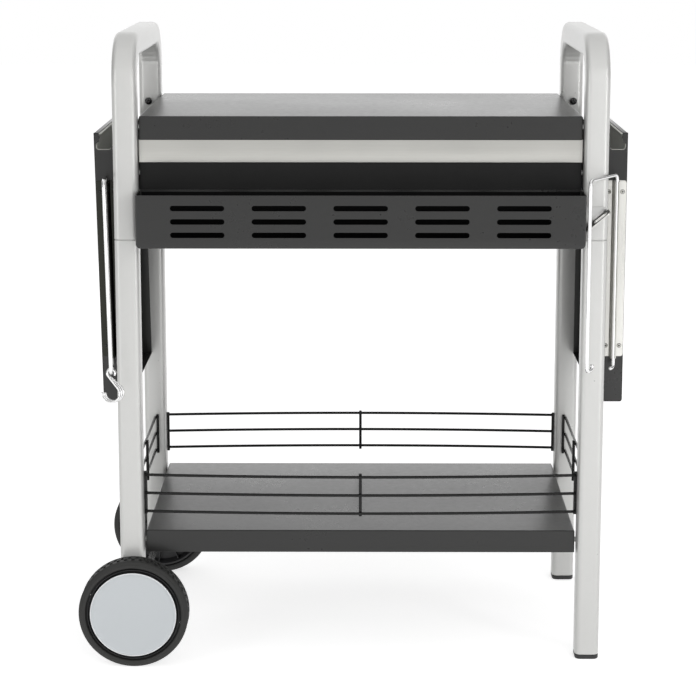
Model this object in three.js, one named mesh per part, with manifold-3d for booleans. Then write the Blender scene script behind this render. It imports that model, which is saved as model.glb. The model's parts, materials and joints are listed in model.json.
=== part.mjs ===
// Grill cart with two bent tube frames, a sheet metal top, a front tray, a bottom shelf with
// wire guard rails, two wheels and two fold-down side tables that each carry a swing rail.
// Millimetres, +Z up, +X to the right, -Y towards the front. The origin is on the floor, in
// the middle of the cart's outer box. The side tables hang folded, as the cart is parked.
import * as THREE from 'three';
import { mergeVertices } from 'three/addons/utils/BufferGeometryUtils.js';
import Module from 'manifold-3d';

const wasm = await Module();
wasm.setup();

// Fits shared by all pieces
const fit = 0.3;
const boltFit = 0.35;
const overrun = 5;

// Tube frame
const tubeWidth = 40;
const tubeWall = 1.5;
const tubeCorner = 10;
const frameHeight = 1054;
const legGap = 3;
const legSpreadY = 442;
const bendRadius = 60;
const seamBelowPanel = 202;
const seamGap = 0.8;
const joinerLength = 90;
const footHeight = 7.5;
const footPlugLength = 25;
const wheelLegEnd = 70;
const wheelLegPlugLength = 11;

// Sheet metal top, casing and steel strip
const sheet = 1.2;
const handleRise = 133;
const panelHalfWidth = 361.6;
const panelOverhang = 4.5;
const panelFascia = 38.5;
const stripHeight = 36.5;
const stripReturn = 8;
const casingDrop = 205;
const casingFlange = 14;

// Front tray with rows of ventilation slots
const trayOverlap = 1;
const trayReach = 74.5;
const trayDrop = 207;
const trayHeight = 86.5;
const trayCorner = 7;
const slotLength = 87.6;
const slotHeight = 8.8;
const slotPitchX = 131.5;
const slotPitchZ = 21.75;
const slotLowest = 22;
const slotMargin = 25;
const slotRows = 3;

// Bottom shelf
const shelfTop = 222;
const shelfFascia = 38;

// Wire guard rails round the shelf
const guardWire = 5;
const guardPitch = 31.5;
const guardLowest = 32;
const guardWires = 3;
const guardBow = 15;
const guardPost = 5;
const guardPostOverlap = 0.8;
const guardInset = 25.2;
const guardSideInset = 4.6;
const guardPostRise = 3;

// Wheels and axle
const wheelRadius = 92;
const wheelWidth = 40;
const tyreSeat = 79;
const tyreShoulder = 5;
const axleRadius = 6;
const axleInset = 4.6;
const wheelGap = 4;
const rimFlange = 4.5;
const rimLip = 2.5;
const rimWeb = 4;
const hubRadius = 16;
const hubFrontRise = 10;
const capRadius = 72.6;
const capThickness = 2.5;
const capEdge = 2;
const capSkirtInset = 6;
const capSkirt = 3;
const capProud = 0.5;
const spacerRadius = 11;
const pushNutRadius = 11;
const pushNutThickness = 3;

// Side tables, measured from their pivots
const pivotOutset = 2.4;
const pivotBelowPanel = 53;
const tableOut = 52;
const tableIn = 9.4;
const tableRise = 24;
const tableDrop = 428.5;
const tableSideGap = 2;
const tableCorner = 4;
const pivotLug = 21;
const lugFoot = 40;
const notchInner = 24;
const notchOuter = 47.5;
const notchCorner = 3;
const notchRise = 6.6;
const neckRise = 10;
const toothRise = 16;
const toothHeight = 6;
const toothReach = 1;
const topLip = 8.7;
const stopRadius = 41;
const rightTableLean = 0;
const leftTableLean = 1;

// Steel rail plate on each side table, and the wire rail that swings on it
const plateThickness = 1.2;
const plateWidth = 35.5;
const plateTopDrop = 54.7;
const plateLength = 295.8;
const plateCorner = 4;
const railWire = 6;
const railPivotOut = 33.5;
const railPivotForward = 17.7;
const channelWall = 1.4;
const channelMouth = 35;
const railWidth = 98.5;
const railTopDrop = 43;
const railPivotLength = 323;
const railFreeLength = 313;
const railBend = 9;
const railCurl = 6;
const railCurlFlat = 7;
const railCurlRise = 2;
const railPivotTail = 5;
const rightRailSwing = 32;
const leftRailSwing = 5.5;

// S-hooks on the left swing rail
const hookWire = 3.4;
const hookFit = 0.55;
const hookCount = 3;
const hookPitch = 3.8;
const hookLoopRadius = 6.4;
const hookThroatRadius = 14.5;
const hookDrop = 35;
const hookShift = 1;
const hookSpread = 4;
const loopOpening = 25;
const throatOpening = 185;

// Bottle opener on the right front leg
const openerSheet = 2;
const openerRise = 19;
const openerSlant = 40;
const openerStart = 1.6;
const openerPlateWidth = 35;
const openerPlateHeight = 37;
const openerPlateCorner = 5;
const openerLipWidth = 51;
const openerLipLength = 34;
const openerLipCorner = 8;
const openerWindowStart = 19;
const openerWindowWidth = 25;
const openerWindowLength = 19;
const openerWindowInset = 8;
const openerWindowCorner = 6;

// Bolts and pins
const boltRadius = 3;
const boltHeadRadius = 6;
const boltHeadHeight = 3.5;
const boltCollarRadius = 4.5;
const boltGrip = 8;
const boltInset = 10;
const casingBoltBelowTop = 57;
const shelfBoltBelowTop = 19;
const stopHeadRadius = 6.6;
const stopHeadHeight = 5.4;
const stopShank = 4.6;
const stopDomeShares = [[1, 0.4], [0.75, 0.85], [0.35, 1]];
const pinRadius = 4;
const pinHeadRadius = 7;
const pinHeadHeight = 2.6;
const pinGrip = 6;

// How finely round shapes are cut
const cornerSteps = 2;
const bendSteps = 6;
const roundSides = 12;
const wireSteps = 4;
const shoulderSteps = 3;
const wheelSides = 36;
const bowSteps = 8;

// Sizes that follow from the ones above
const half = (value) => value / 2;
const legInnerX = panelHalfWidth + legGap;
const legX = legInnerX + half(tubeWidth);
const legY = half(legSpreadY);
const legInnerY = legY - half(tubeWidth);
const legOuterY = legY + half(tubeWidth);
const plugWidth = tubeWidth - 2 * tubeWall - 2 * fit;
const panelHalfDepth = legY + panelOverhang;
const panelTop = frameHeight - handleRise;
const panelBottom = panelTop - panelFascia;
const seamHeight = panelTop - seamBelowPanel;
const stripTop = panelBottom - fit;
const casingFront = panelHalfDepth - sheet - fit;
const casingBottom = panelTop - casingDrop;
const trayHalfWidth = panelHalfWidth + trayOverlap;
const trayFront = panelHalfDepth + trayReach;
const trayBottom = panelTop - trayDrop;
const trayTop = trayBottom + trayHeight;
const slotColumns = Math.floor(2 * (trayHalfWidth - slotMargin) / slotPitchX);
const boltAlongY = legY - boltInset;
const pivotX = legX + pivotOutset;
const pivotHeight = panelTop - pivotBelowPanel;
const tableHalfWidth = legInnerY - tableSideGap;
const wheelY = legOuterY + wheelGap + half(wheelWidth);
const axleX = axleInset - legX;

// Finishes
const finish = (color, roughness, metalness) =>
  new THREE.MeshStandardMaterial({ color, roughness, metalness });
const silverPaint = finish(0xcfcfcd, 0.38, 0.35);
const darkPaint = finish(0x3d3d3d, 0.55, 0.1);
const brushedSteel = finish(0xc2c2bc, 0.35, 1);
const chromeWire = finish(0xd8d8d8, 0.12, 1);
const blackWire = finish(0x161616, 0.5, 0.2);
const blackPlastic = finish(0x1c1c1c, 0.6, 0);
const tyreRubber = finish(0x2e2e2e, 0.85, 0);
const wheelDisc = finish(0xc3c8cc, 0.35, 0.4);
const zincSteel = finish(0xb5b5b2, 0.4, 0.9);

const cart = new THREE.Group();

function addMesh(parent, name, geometry, material, x = 0, y = 0, z = 0) {
  const mesh = new THREE.Mesh(geometry, material);
  mesh.name = name;
  mesh.position.set(x, y, z);
  parent.add(mesh);
  return mesh;
}

// Solids for cuts and joins
function solidOf(geometry) {
  const plain = geometry.clone();
  plain.deleteAttribute('normal');
  plain.deleteAttribute('uv');
  const merged = mergeVertices(plain);
  return new wasm.Manifold(new wasm.Mesh({
    numProp: 3,
    vertProperties: merged.attributes.position.array,
    triVerts: new Uint32Array(merged.index.array),
  }));
}

function geometryOf(solid) {
  const mesh = solid.getMesh();
  const geometry = new THREE.BufferGeometry();
  geometry.setAttribute('position', new THREE.BufferAttribute(mesh.vertProperties, 3));
  geometry.setIndex(new THREE.BufferAttribute(mesh.triVerts, 1));
  return geometry;
}

const joined = (geometries) =>
  geometryOf(geometries.map(solidOf).reduce((sum, next) => sum.add(next)));

const cut = (geometry, cutters) =>
  geometryOf(cutters.map(solidOf).reduce((rest, next) => rest.subtract(next), solidOf(geometry)));

// Basic shapes
function box(sizeX, sizeY, sizeZ, x = 0, y = 0, z = 0) {
  const geometry = new THREE.BoxGeometry(sizeX, sizeY, sizeZ);
  geometry.translate(x, y, z);
  return geometry;
}

// A cylinder along one axis, centred on a point
function rod(axis, radius, length, x = 0, y = 0, z = 0, sides = roundSides) {
  const geometry = new THREE.CylinderGeometry(radius, radius, length, sides);
  if (axis === 'x') geometry.rotateZ(Math.PI / 2);
  if (axis === 'z') geometry.rotateX(Math.PI / 2);
  geometry.translate(x, y, z);
  return geometry;
}

function roundedOblong(width, height, corner, x = 0, y = 0) {
  const flatX = half(width) - corner;
  const flatY = half(height) - corner;
  const shape = new THREE.Shape();
  shape.absarc(x + flatX, y + flatY, corner, 0, Math.PI / 2);
  shape.absarc(x - flatX, y + flatY, corner, Math.PI / 2, Math.PI);
  shape.absarc(x - flatX, y - flatY, corner, Math.PI, Math.PI * 1.5);
  shape.absarc(x + flatX, y - flatY, corner, Math.PI * 1.5, Math.PI * 2);
  shape.closePath();
  return shape;
}

function tubeSection(width, wall, corner) {
  const section = roundedOblong(width, width, corner);
  section.holes.push(roundedOblong(width - 2 * wall, width - 2 * wall, corner - wall));
  return section;
}

const disc = (radius) => new THREE.Shape().absarc(0, 0, radius, 0, Math.PI * 2);

function prism(shape, depth, steps = cornerSteps) {
  return new THREE.ExtrudeGeometry(shape, { depth, bevelEnabled: false, curveSegments: steps });
}

// A route through stations, each a point with its direction, so that a straight run has no
// rings but its ends
class Route extends THREE.Curve {
  constructor(stations) {
    super();
    this.stations = stations;
  }

  at(u, key) {
    const place = u * (this.stations.length - 1);
    const low = Math.min(Math.floor(place), this.stations.length - 2);
    return this.stations[low][key].clone().lerp(this.stations[low + 1][key], place - low);
  }

  getPointAt(u) {
    return this.at(u, 'point');
  }

  getTangentAt(u) {
    return this.at(u, 'along').normalize();
  }
}

const station = (x, y, z, alongX, alongY, alongZ) => ({
  point: new THREE.Vector3(x, y, z),
  along: new THREE.Vector3(alongX, alongY, alongZ),
});

function sweep(section, stations, sides) {
  return new THREE.ExtrudeGeometry(section, {
    steps: stations.length - 1,
    curveSegments: sides,
    extrudePath: new Route(stations),
  });
}

// Stations of a bend in a plane: centre, radius and the angles it turns between, with the
// plane's two directions given by a function that places a flat point in space
function bend(place, centreU, centreV, radius, fromAngle, toAngle, steps) {
  const turn = Math.sign(toAngle - fromAngle);
  return Array.from({ length: steps + 1 }, (_, index) => {
    const angle = THREE.MathUtils.degToRad(fromAngle + (toAngle - fromAngle) * index / steps);
    const point = place(centreU + radius * Math.cos(angle), centreV + radius * Math.sin(angle));
    const start = place(0, 0);
    const tip = place(-Math.sin(angle) * turn, Math.cos(angle) * turn);
    return { point, along: tip.sub(start) };
  });
}

// Lathe about the Y axis from [radius, along] pairs; a profile off the axis closes on itself
function lathe(profile, sides = roundSides) {
  const points = profile.map(([radius, along]) => new THREE.Vector2(radius, along));
  if (points[0].x > 0) points.push(points[0].clone());
  const area = points.reduce((sum, point, index) =>
    sum + point.cross(points[(index + 1) % points.length]), 0);
  if (area < 0) points.reverse();
  return new THREE.LatheGeometry(points, sides);
}

// Tube frame
const tube = tubeSection(tubeWidth, tubeWall, tubeCorner);

function handleGeometry(side) {
  const inPlane = (y, z) => new THREE.Vector3(0, y, z);
  const arcY = legY - bendRadius;
  const arcZ = frameHeight - half(tubeWidth) - bendRadius;
  const foot = seamHeight + half(seamGap);
  const bentTube = sweep(tube, [
    station(0, -legY, foot, 0, 0, 1),
    ...bend(inPlane, -arcY, arcZ, bendRadius, 180, 90, bendSteps),
    ...bend(inPlane, arcY, arcZ, bendRadius, 90, 0, bendSteps),
    station(0, legY, foot, 0, 0, -1),
  ], cornerSteps);
  const depth = tubeWall + 2 * overrun;
  const holes = [-1, 1].flatMap((front) => [
    rod('y', pinRadius + boltFit, depth, side * pivotOutset, front * legInnerY, pivotHeight),
    rod('y', boltRadius + boltFit, depth, side * pivotOutset, front * legInnerY,
      pivotHeight + stopRadius),
    rod('x', boltRadius + boltFit, depth, -side * half(tubeWidth), front * boltAlongY,
      panelTop - casingBoltBelowTop),
  ]);
  return cut(bentTube, holes);
}

function legGeometry(side, front, bottom) {
  const top = seamHeight - half(seamGap);
  const leg = prism(tube, top - bottom);
  leg.translate(0, 0, bottom);
  const holes = [rod('x', boltRadius + boltFit, tubeWall + 2 * overrun, -side * half(tubeWidth),
    front * (boltAlongY - legY), shelfTop - shelfBoltBelowTop)];
  if (side < 0) {
    holes.push(rod('y', axleRadius + boltFit, tubeWidth + 2 * overrun, axleInset, 0, wheelRadius));
  }
  return cut(leg, holes);
}

function endCapGeometry(plugLength) {
  const plate = prism(roundedOblong(tubeWidth, tubeWidth, tubeCorner), footHeight);
  const plug = prism(roundedOblong(plugWidth, plugWidth, tubeCorner - tubeWall),
    plugLength + footHeight);
  return joined([plate, plug]);
}

const joinerSection = tubeSection(plugWidth, tubeWall, tubeCorner - tubeWall);

const sideNames = { '-1': 'left', '1': 'right' };
const endNames = { '-1': 'front', '1': 'rear' };

for (const side of [-1, 1]) {
  const sideName = sideNames[side];
  addMesh(cart, `${sideName}_handle_frame`, handleGeometry(side), silverPaint, side * legX);
  for (const front of [-1, 1]) {
    const corner = `${endNames[front]}_${sideName}`;
    const legBottom = side < 0 ? wheelLegEnd : footHeight + fit;
    const plugLength = side < 0 ? wheelLegPlugLength : footPlugLength;
    const capName = side < 0 ? 'end_cap' : 'foot';
    addMesh(cart, `${corner}_leg`, legGeometry(side, front, legBottom), silverPaint,
      side * legX, front * legY);
    addMesh(cart, `${corner}_${capName}`, endCapGeometry(plugLength), blackPlastic,
      side * legX, front * legY, legBottom - footHeight - fit);
    addMesh(cart, `${corner}_tube_joiner`, prism(joinerSection, joinerLength), zincSteel,
      side * legX, front * legY, seamHeight - half(joinerLength));
  }
}

// A sheet metal panel: a plate with a fascia all round, open below
function panelGeometry(halfWidth, halfDepth, height) {
  const hollow = box(2 * (halfWidth - sheet), 2 * (halfDepth - sheet), height, 0, 0, -sheet);
  return cut(box(2 * halfWidth, 2 * halfDepth, height), [hollow]);
}

// The casing under the top panel: four walls with inward flanges above and below
function casingGeometry(halfWidth, halfDepth, height) {
  const way = box(2 * (halfWidth - casingFlange), 2 * (halfDepth - casingFlange),
    height + 2 * overrun);
  const hollow = box(2 * (halfWidth - sheet), 2 * (halfDepth - sheet), height - 2 * sheet);
  return cut(box(2 * halfWidth, 2 * halfDepth, height), [way, hollow]);
}

function sideHoles(geometry, reachX, alongY, z) {
  const holes = [-1, 1].flatMap((side) => [-1, 1].map((front) =>
    rod('x', boltRadius + boltFit, sheet + 2 * overrun, side * reachX, front * alongY, z)));
  return cut(geometry, holes);
}

addMesh(cart, 'top_panel', panelGeometry(panelHalfWidth, panelHalfDepth, panelFascia),
  darkPaint, 0, 0, panelTop - half(panelFascia));

const casingTop = panelBottom - fit;
const casingHeight = casingTop - casingBottom;
const casingMiddle = half(casingTop + casingBottom);
addMesh(cart, 'casing',
  sideHoles(casingGeometry(panelHalfWidth, casingFront, casingHeight), panelHalfWidth,
    boltAlongY, panelTop - casingBoltBelowTop - casingMiddle),
  darkPaint, 0, 0, casingMiddle);

// The strip lies on the casing's front and hooks back over its ends by a short return, in the
// gap between the casing and the legs
function stripGeometry() {
  const outer = panelHalfWidth + fit + sheet;
  const inner = panelHalfWidth + fit;
  const shape = new THREE.Shape();
  shape.moveTo(-outer, 0);
  shape.lineTo(outer, 0);
  shape.lineTo(outer, stripReturn);
  shape.lineTo(inner, stripReturn);
  shape.lineTo(inner, sheet);
  shape.lineTo(-inner, sheet);
  shape.lineTo(-inner, stripReturn);
  shape.lineTo(-outer, stripReturn);
  shape.closePath();
  return prism(shape, stripHeight);
}
addMesh(cart, 'steel_front_strip', stripGeometry(), brushedSteel,
  0, -panelHalfDepth, stripTop - stripHeight);

addMesh(cart, 'bottom_shelf',
  sideHoles(panelGeometry(panelHalfWidth, panelHalfDepth, shelfFascia), panelHalfWidth,
    boltAlongY, half(shelfFascia) - shelfBoltBelowTop),
  darkPaint, 0, 0, shelfTop - half(shelfFascia));

// Front tray, drawn as its front face and extruded back to the casing
function trayOutline(inset) {
  const reach = trayHalfWidth - inset;
  const corner = trayCorner - inset;
  const low = trayBottom + inset;
  const shape = new THREE.Shape();
  shape.moveTo(-reach, trayTop + (inset > 0 ? overrun : 0));
  shape.lineTo(-reach, low + corner);
  shape.absarc(-reach + corner, low + corner, corner, Math.PI, Math.PI * 1.5);
  shape.absarc(reach - corner, low + corner, corner, Math.PI * 1.5, Math.PI * 2);
  shape.lineTo(reach, trayTop + (inset > 0 ? overrun : 0));
  shape.closePath();
  return shape;
}

function standing(shape, depth, steps) {
  const geometry = prism(shape, depth, steps);
  geometry.rotateX(Math.PI / 2);
  return geometry;
}

function slotShape() {
  const flat = half(slotLength - slotHeight);
  const shape = new THREE.Shape();
  shape.absarc(flat, 0, half(slotHeight), -Math.PI / 2, Math.PI / 2);
  shape.absarc(-flat, 0, half(slotHeight), Math.PI / 2, Math.PI * 1.5);
  shape.closePath();
  return shape;
}

function trayGeometry() {
  const trayBack = panelHalfDepth - sheet;
  const depth = trayFront - trayBack;
  const body = standing(trayOutline(0), depth);
  body.translate(0, -trayBack, 0);
  const hollow = standing(trayOutline(sheet), depth - 2 * sheet);
  hollow.translate(0, -trayBack - sheet, 0);
  const slots = [];
  for (let column = 0; column < slotColumns; column += 1) {
    for (let row = 0; row < slotRows; row += 1) {
      const slot = standing(slotShape(), sheet + 2 * overrun, cornerSteps);
      slot.translate(slotPitchX * (column - half(slotColumns - 1)), -trayFront + sheet + overrun,
        trayBottom + slotLowest + row * slotPitchZ);
      slots.push(slot);
    }
  }
  return cut(body, [hollow, ...slots]);
}
addMesh(cart, 'front_tray', trayGeometry(), darkPaint);

// Guard rails: three wires welded to end posts and a middle post on their inner side
function guardRailGeometry(span, bow) {
  const wireY = -(half(guardPost) + half(guardWire) - guardPostOverlap);
  const run = half(span) - half(guardPost);
  const steps = bow > 0 ? bowSteps : 1;
  const wire = Array.from({ length: steps + 1 }, (_, index) => {
    const share = 2 * index / steps - 1;
    return station(run * share, wireY - bow * (1 - share * share), 0,
      run, 2 * bow * share, 0);
  });
  const postHeight = (guardWires - 1) * guardPitch + guardWire + 2 * guardPostRise;
  const middle = half((guardWires - 1) * guardPitch);
  const post = (x, y) => box(guardPost, guardPost, postHeight, x, y, middle);
  const wires = Array.from({ length: guardWires }, (_, index) => {
    const length = sweep(disc(half(guardWire)), wire, wireSteps);
    length.translate(0, 0, index * guardPitch);
    return length;
  });
  return joined([...wires, post(-run, 0), post(run, 0), post(0, -bow)]);
}

const guardZ = shelfTop + guardLowest;
const guardEndY = legOuterY - guardInset;
const guardSideX = legX - guardSideInset;
const widthSpan = 2 * (legInnerX - fit);
const depthSpan = 2 * (legInnerY - fit);
addMesh(cart, 'front_guard_rail', guardRailGeometry(widthSpan, guardBow), blackWire,
  0, -guardEndY, guardZ);
addMesh(cart, 'rear_guard_rail', guardRailGeometry(widthSpan, guardBow), blackWire,
  0, guardEndY, guardZ).rotation.z = Math.PI;
addMesh(cart, 'right_guard_rail', guardRailGeometry(depthSpan, 0), blackWire,
  guardSideX, 0, guardZ).rotation.z = Math.PI / 2;
addMesh(cart, 'left_guard_rail', guardRailGeometry(depthSpan, 0), blackWire,
  -guardSideX, 0, guardZ).rotation.z = -Math.PI / 2;

// Bolts that hold the casing and the shelf between the legs. Each has a collar in the gap
// between the sheet and the leg. The lathe's axis starts inside the sheet.
function frameBoltGeometry() {
  const collarStart = fit;
  const collarEnd = legGap - fit;
  const headBack = -sheet - fit;
  return lathe([
    [0, headBack - boltHeadHeight],
    [boltHeadRadius, headBack - boltHeadHeight],
    [boltHeadRadius, headBack],
    [boltRadius, headBack],
    [boltRadius, collarStart],
    [boltCollarRadius, collarStart],
    [boltCollarRadius, collarEnd],
    [boltRadius, collarEnd],
    [boltRadius, legGap + tubeWall + boltGrip],
    [0, legGap + tubeWall + boltGrip],
  ]);
}

for (const side of [-1, 1]) {
  for (const front of [-1, 1]) {
    const corner = `${endNames[front]}_${sideNames[side]}`;
    const casingBolt = addMesh(cart, `${corner}_casing_bolt`, frameBoltGeometry(), zincSteel,
      side * panelHalfWidth, front * boltAlongY, panelTop - casingBoltBelowTop);
    casingBolt.rotation.z = -side * Math.PI / 2;
    const shelfBolt = addMesh(cart, `${corner}_shelf_bolt`, frameBoltGeometry(), zincSteel,
      side * panelHalfWidth, front * boltAlongY, shelfTop - shelfBoltBelowTop);
    shelfBolt.rotation.z = -side * Math.PI / 2;
  }
}

// Stop bolts above the table pivots, which the raised tables rest on, and the pivot pins.
// Both lathes start at the leg's inner face and run towards the middle of the cart.
function stopBoltGeometry() {
  return lathe([
    [0, -tubeWall - boltGrip],
    [boltRadius, -tubeWall - boltGrip],
    [boltRadius, stopShank],
    [stopHeadRadius, stopShank],
    ...stopDomeShares.map(([out, up]) => [out * stopHeadRadius, stopShank + up * stopHeadHeight]),
    [0, stopShank + stopHeadHeight],
  ]);
}

function pivotPinGeometry() {
  const headStart = tableSideGap + sheet + fit;
  return lathe([
    [0, -tubeWall - pinGrip],
    [pinRadius, -tubeWall - pinGrip],
    [pinRadius, fit],
    [pinHeadRadius, fit],
    [pinHeadRadius, tableSideGap - fit],
    [pinRadius, tableSideGap - fit],
    [pinRadius, headStart],
    [pinHeadRadius, headStart],
    [pinHeadRadius, headStart + pinHeadHeight],
    [0, headStart + pinHeadHeight],
  ]);
}

for (const side of [-1, 1]) {
  for (const front of [-1, 1]) {
    const corner = `${endNames[front]}_${sideNames[side]}`;
    const turn = front < 0 ? 0 : Math.PI;
    addMesh(cart, `${corner}_stop_bolt`, stopBoltGeometry(), blackPlastic,
      side * pivotX, front * legInnerY, pivotHeight + stopRadius).rotation.z = turn;
    addMesh(cart, `${corner}_pivot_pin`, pivotPinGeometry(), zincSteel,
      side * pivotX, front * legInnerY, pivotHeight).rotation.z = turn;
  }
}

// Wheels. Each lathe runs along Y, with the wheel's outer side towards -Y.
const tyreReach = half(wheelWidth);
const rimReach = tyreReach - rimLip;
const rimOuter = tyreSeat - fit;
const boreRadius = axleRadius + boltFit;
const hubFront = -hubFrontRise;
const capBack = -tyreReach - capProud + capThickness;

const shoulderStart = wheelRadius - tyreShoulder;
const shoulderInset = tyreReach - tyreShoulder;
const shoulderArc = (turn) => Array.from({ length: shoulderSteps + 1 }, (_, index) => {
  const angle = half(Math.PI) * index / shoulderSteps;
  return [shoulderStart + tyreShoulder * (turn > 0 ? Math.sin(angle) : Math.cos(angle)),
    turn * shoulderInset + turn * tyreShoulder * (turn > 0 ? Math.cos(angle) : Math.sin(angle))];
});

const tyreGeometry = () => lathe([
  [tyreSeat, tyreReach],
  ...shoulderArc(1),
  ...shoulderArc(-1),
  [tyreSeat, -tyreReach],
], wheelSides);

const rimGeometry = () => lathe([
  [boreRadius, tyreReach],
  [hubRadius, tyreReach],
  [hubRadius, half(rimWeb)],
  [rimOuter - rimFlange, half(rimWeb)],
  [rimOuter - rimFlange, rimReach],
  [rimOuter, rimReach],
  [rimOuter, -rimReach],
  [rimOuter - rimFlange, -rimReach],
  [rimOuter - rimFlange, -half(rimWeb)],
  [hubRadius, -half(rimWeb)],
  [hubRadius, hubFront],
  [boreRadius, hubFront],
], wheelSides);

const capGeometry = () => lathe([
  [0, capBack],
  [capRadius - capSkirtInset - capSkirt, capBack],
  [capRadius - capSkirtInset - capSkirt, -half(rimWeb) - fit],
  [capRadius - capSkirtInset, -half(rimWeb) - fit],
  [capRadius - capSkirtInset, capBack],
  [capRadius, capBack],
  [capRadius, capBack - capThickness + half(capEdge)],
  [capRadius - capEdge, capBack - capThickness],
  [0, capBack - capThickness],
], wheelSides);

const ringGeometry = (radius, from, to) => lathe([
  [boreRadius, to],
  [radius, to],
  [radius, from],
  [boreRadius, from],
]);

const axle = new THREE.Group();
axle.position.set(axleX, 0, wheelRadius);
cart.add(axle);
const axleReach = wheelY - hubFront + fit + pushNutThickness;
addMesh(axle, 'axle', rod('y', axleRadius, 2 * axleReach), zincSteel);

for (const front of [-1, 1]) {
  const name = endNames[front];
  const wheel = new THREE.Group();
  wheel.position.y = front * wheelY;
  if (front > 0) wheel.rotation.z = Math.PI;
  axle.add(wheel);
  addMesh(wheel, `${name}_tyre`, tyreGeometry(), tyreRubber);
  addMesh(wheel, `${name}_rim`, rimGeometry(), blackPlastic);
  addMesh(wheel, `${name}_wheel_cap`, capGeometry(), wheelDisc);
  addMesh(wheel, `${name}_axle_spacer`,
    ringGeometry(spacerRadius, tyreReach + fit, tyreReach + wheelGap - fit), zincSteel);
  addMesh(wheel, `${name}_push_nut`,
    ringGeometry(pushNutRadius, hubFront - fit - pushNutThickness, hubFront - fit), zincSteel);
}

// Side tables. The outline is the table's side flange, seen along Y with the pivot at its
// origin, the table's outer face at tableOut and its upper edge at tableRise. The notch
// catches the stop bolt when the table is raised.
function tableOutline() {
  const notchFloor = -boltRadius - fit;
  const neck = tableOut - topLip;
  const shape = new THREE.Shape();
  shape.moveTo(tableIn, -tableDrop);
  shape.lineTo(tableOut - tableCorner, -tableDrop);
  shape.absarc(tableOut - tableCorner, tableCorner - tableDrop, tableCorner, -Math.PI / 2, 0);
  shape.lineTo(tableOut, tableRise);
  shape.lineTo(neck, tableRise);
  shape.lineTo(neck, toothRise + half(toothHeight));
  shape.lineTo(neck - toothReach, toothRise);
  shape.lineTo(neck, toothRise - half(toothHeight));
  shape.lineTo(neck, neckRise);
  shape.lineTo(notchOuter, notchRise);
  shape.lineTo(notchOuter, notchFloor + notchCorner);
  shape.lineTo(notchOuter - notchCorner, notchFloor);
  shape.lineTo(notchInner, notchFloor);
  shape.absarc(0, 0, pivotLug, 0, Math.PI * 1.25);
  shape.lineTo(tableIn, -lugFoot);
  shape.closePath();
  return shape;
}

function tableGeometry() {
  const body = standing(tableOutline(), 2 * tableHalfWidth);
  body.translate(0, tableHalfWidth, 0);
  const hollowIn = pivotLug + overrun;
  const hollowLength = tableRise + tableDrop - 2 * sheet;
  const hollow = box(tableOut - sheet + hollowIn, 2 * (tableHalfWidth - sheet), hollowLength,
    half(tableOut - sheet - hollowIn), 0, half(tableRise - tableDrop));
  const pinHole = rod('y', pinRadius + boltFit, 2 * (tableHalfWidth + overrun));
  return cut(body, [hollow, pinHole]);
}

// Rail plate with a channel along its middle, which holds the swing rail's upright and is open
// in front. The section is drawn with the upright at its origin and the plate behind it.
function railPlateGeometry() {
  const bore = half(railWire) + boltFit;
  const outer = bore + channelWall;
  const back = railPivotForward;
  const face = back - plateThickness;
  const mouth = THREE.MathUtils.degToRad(channelMouth);
  const section = new THREE.Shape();
  section.moveTo(half(plateWidth), back);
  section.lineTo(-half(plateWidth), back);
  section.lineTo(-half(plateWidth), face);
  section.lineTo(-outer, face);
  section.absarc(0, 0, outer, Math.PI, Math.PI * 1.5 - mouth);
  section.absarc(0, 0, bore, Math.PI * 1.5 - mouth, Math.PI, true);
  section.lineTo(-bore, face);
  section.lineTo(bore, face);
  section.absarc(0, 0, bore, 0, mouth - half(Math.PI), true);
  section.absarc(0, 0, outer, mouth - half(Math.PI), 0);
  section.lineTo(outer, face);
  section.lineTo(half(plateWidth), face);
  section.closePath();
  const strip = prism(section, plateLength);
  strip.translate(0, 0, -plateLength);
  const reach = half(plateWidth);
  const corners = new THREE.Shape();
  corners.moveTo(-reach, -plateLength + plateCorner);
  corners.lineTo(-reach + plateCorner, -plateLength);
  corners.lineTo(reach - plateCorner, -plateLength);
  corners.lineTo(reach, -plateLength + plateCorner);
  corners.lineTo(reach, -plateCorner);
  corners.lineTo(reach - plateCorner, 0);
  corners.lineTo(-reach + plateCorner, 0);
  corners.lineTo(-reach, -plateCorner);
  corners.closePath();
  const stock = standing(corners, 2 * (back + overrun));
  stock.translate(0, back + overrun, 0);
  return geometryOf(solidOf(strip).intersect(solidOf(stock)));
}

// Swing rail in its own plane: the upright turns in the plate's channel, the bar crosses at the
// top and the free leg ends in a flat hook that keeps the S-hooks on
function swingRailGeometry() {
  const inPlane = (u, z) => new THREE.Vector3(u, 0, z);
  const top = -railTopDrop;
  const pivotFoot = top - railPivotLength;
  const freeFoot = top - railFreeLength;
  const hookIn = railWidth - 2 * railCurl - railCurlFlat;
  return sweep(disc(half(railWire)), [
    station(railCurl + railPivotTail, 0, pivotFoot, -1, 0, 0),
    ...bend(inPlane, railCurl, pivotFoot + railCurl, railCurl, 270, 180, cornerSteps),
    ...bend(inPlane, railBend, top - railBend, railBend, 180, 90, cornerSteps),
    ...bend(inPlane, railWidth - railBend, top - railBend, railBend, 90, 0, cornerSteps),
    ...bend(inPlane, railWidth - railCurl, freeFoot + railCurl, railCurl, 0, -90, cornerSteps),
    ...bend(inPlane, hookIn + railCurl, freeFoot + railCurl, railCurl, -90, -180, cornerSteps),
    station(hookIn, 0, freeFoot + railCurl + railCurlRise, 0, 0, 1),
  ], wireSteps);
}

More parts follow.
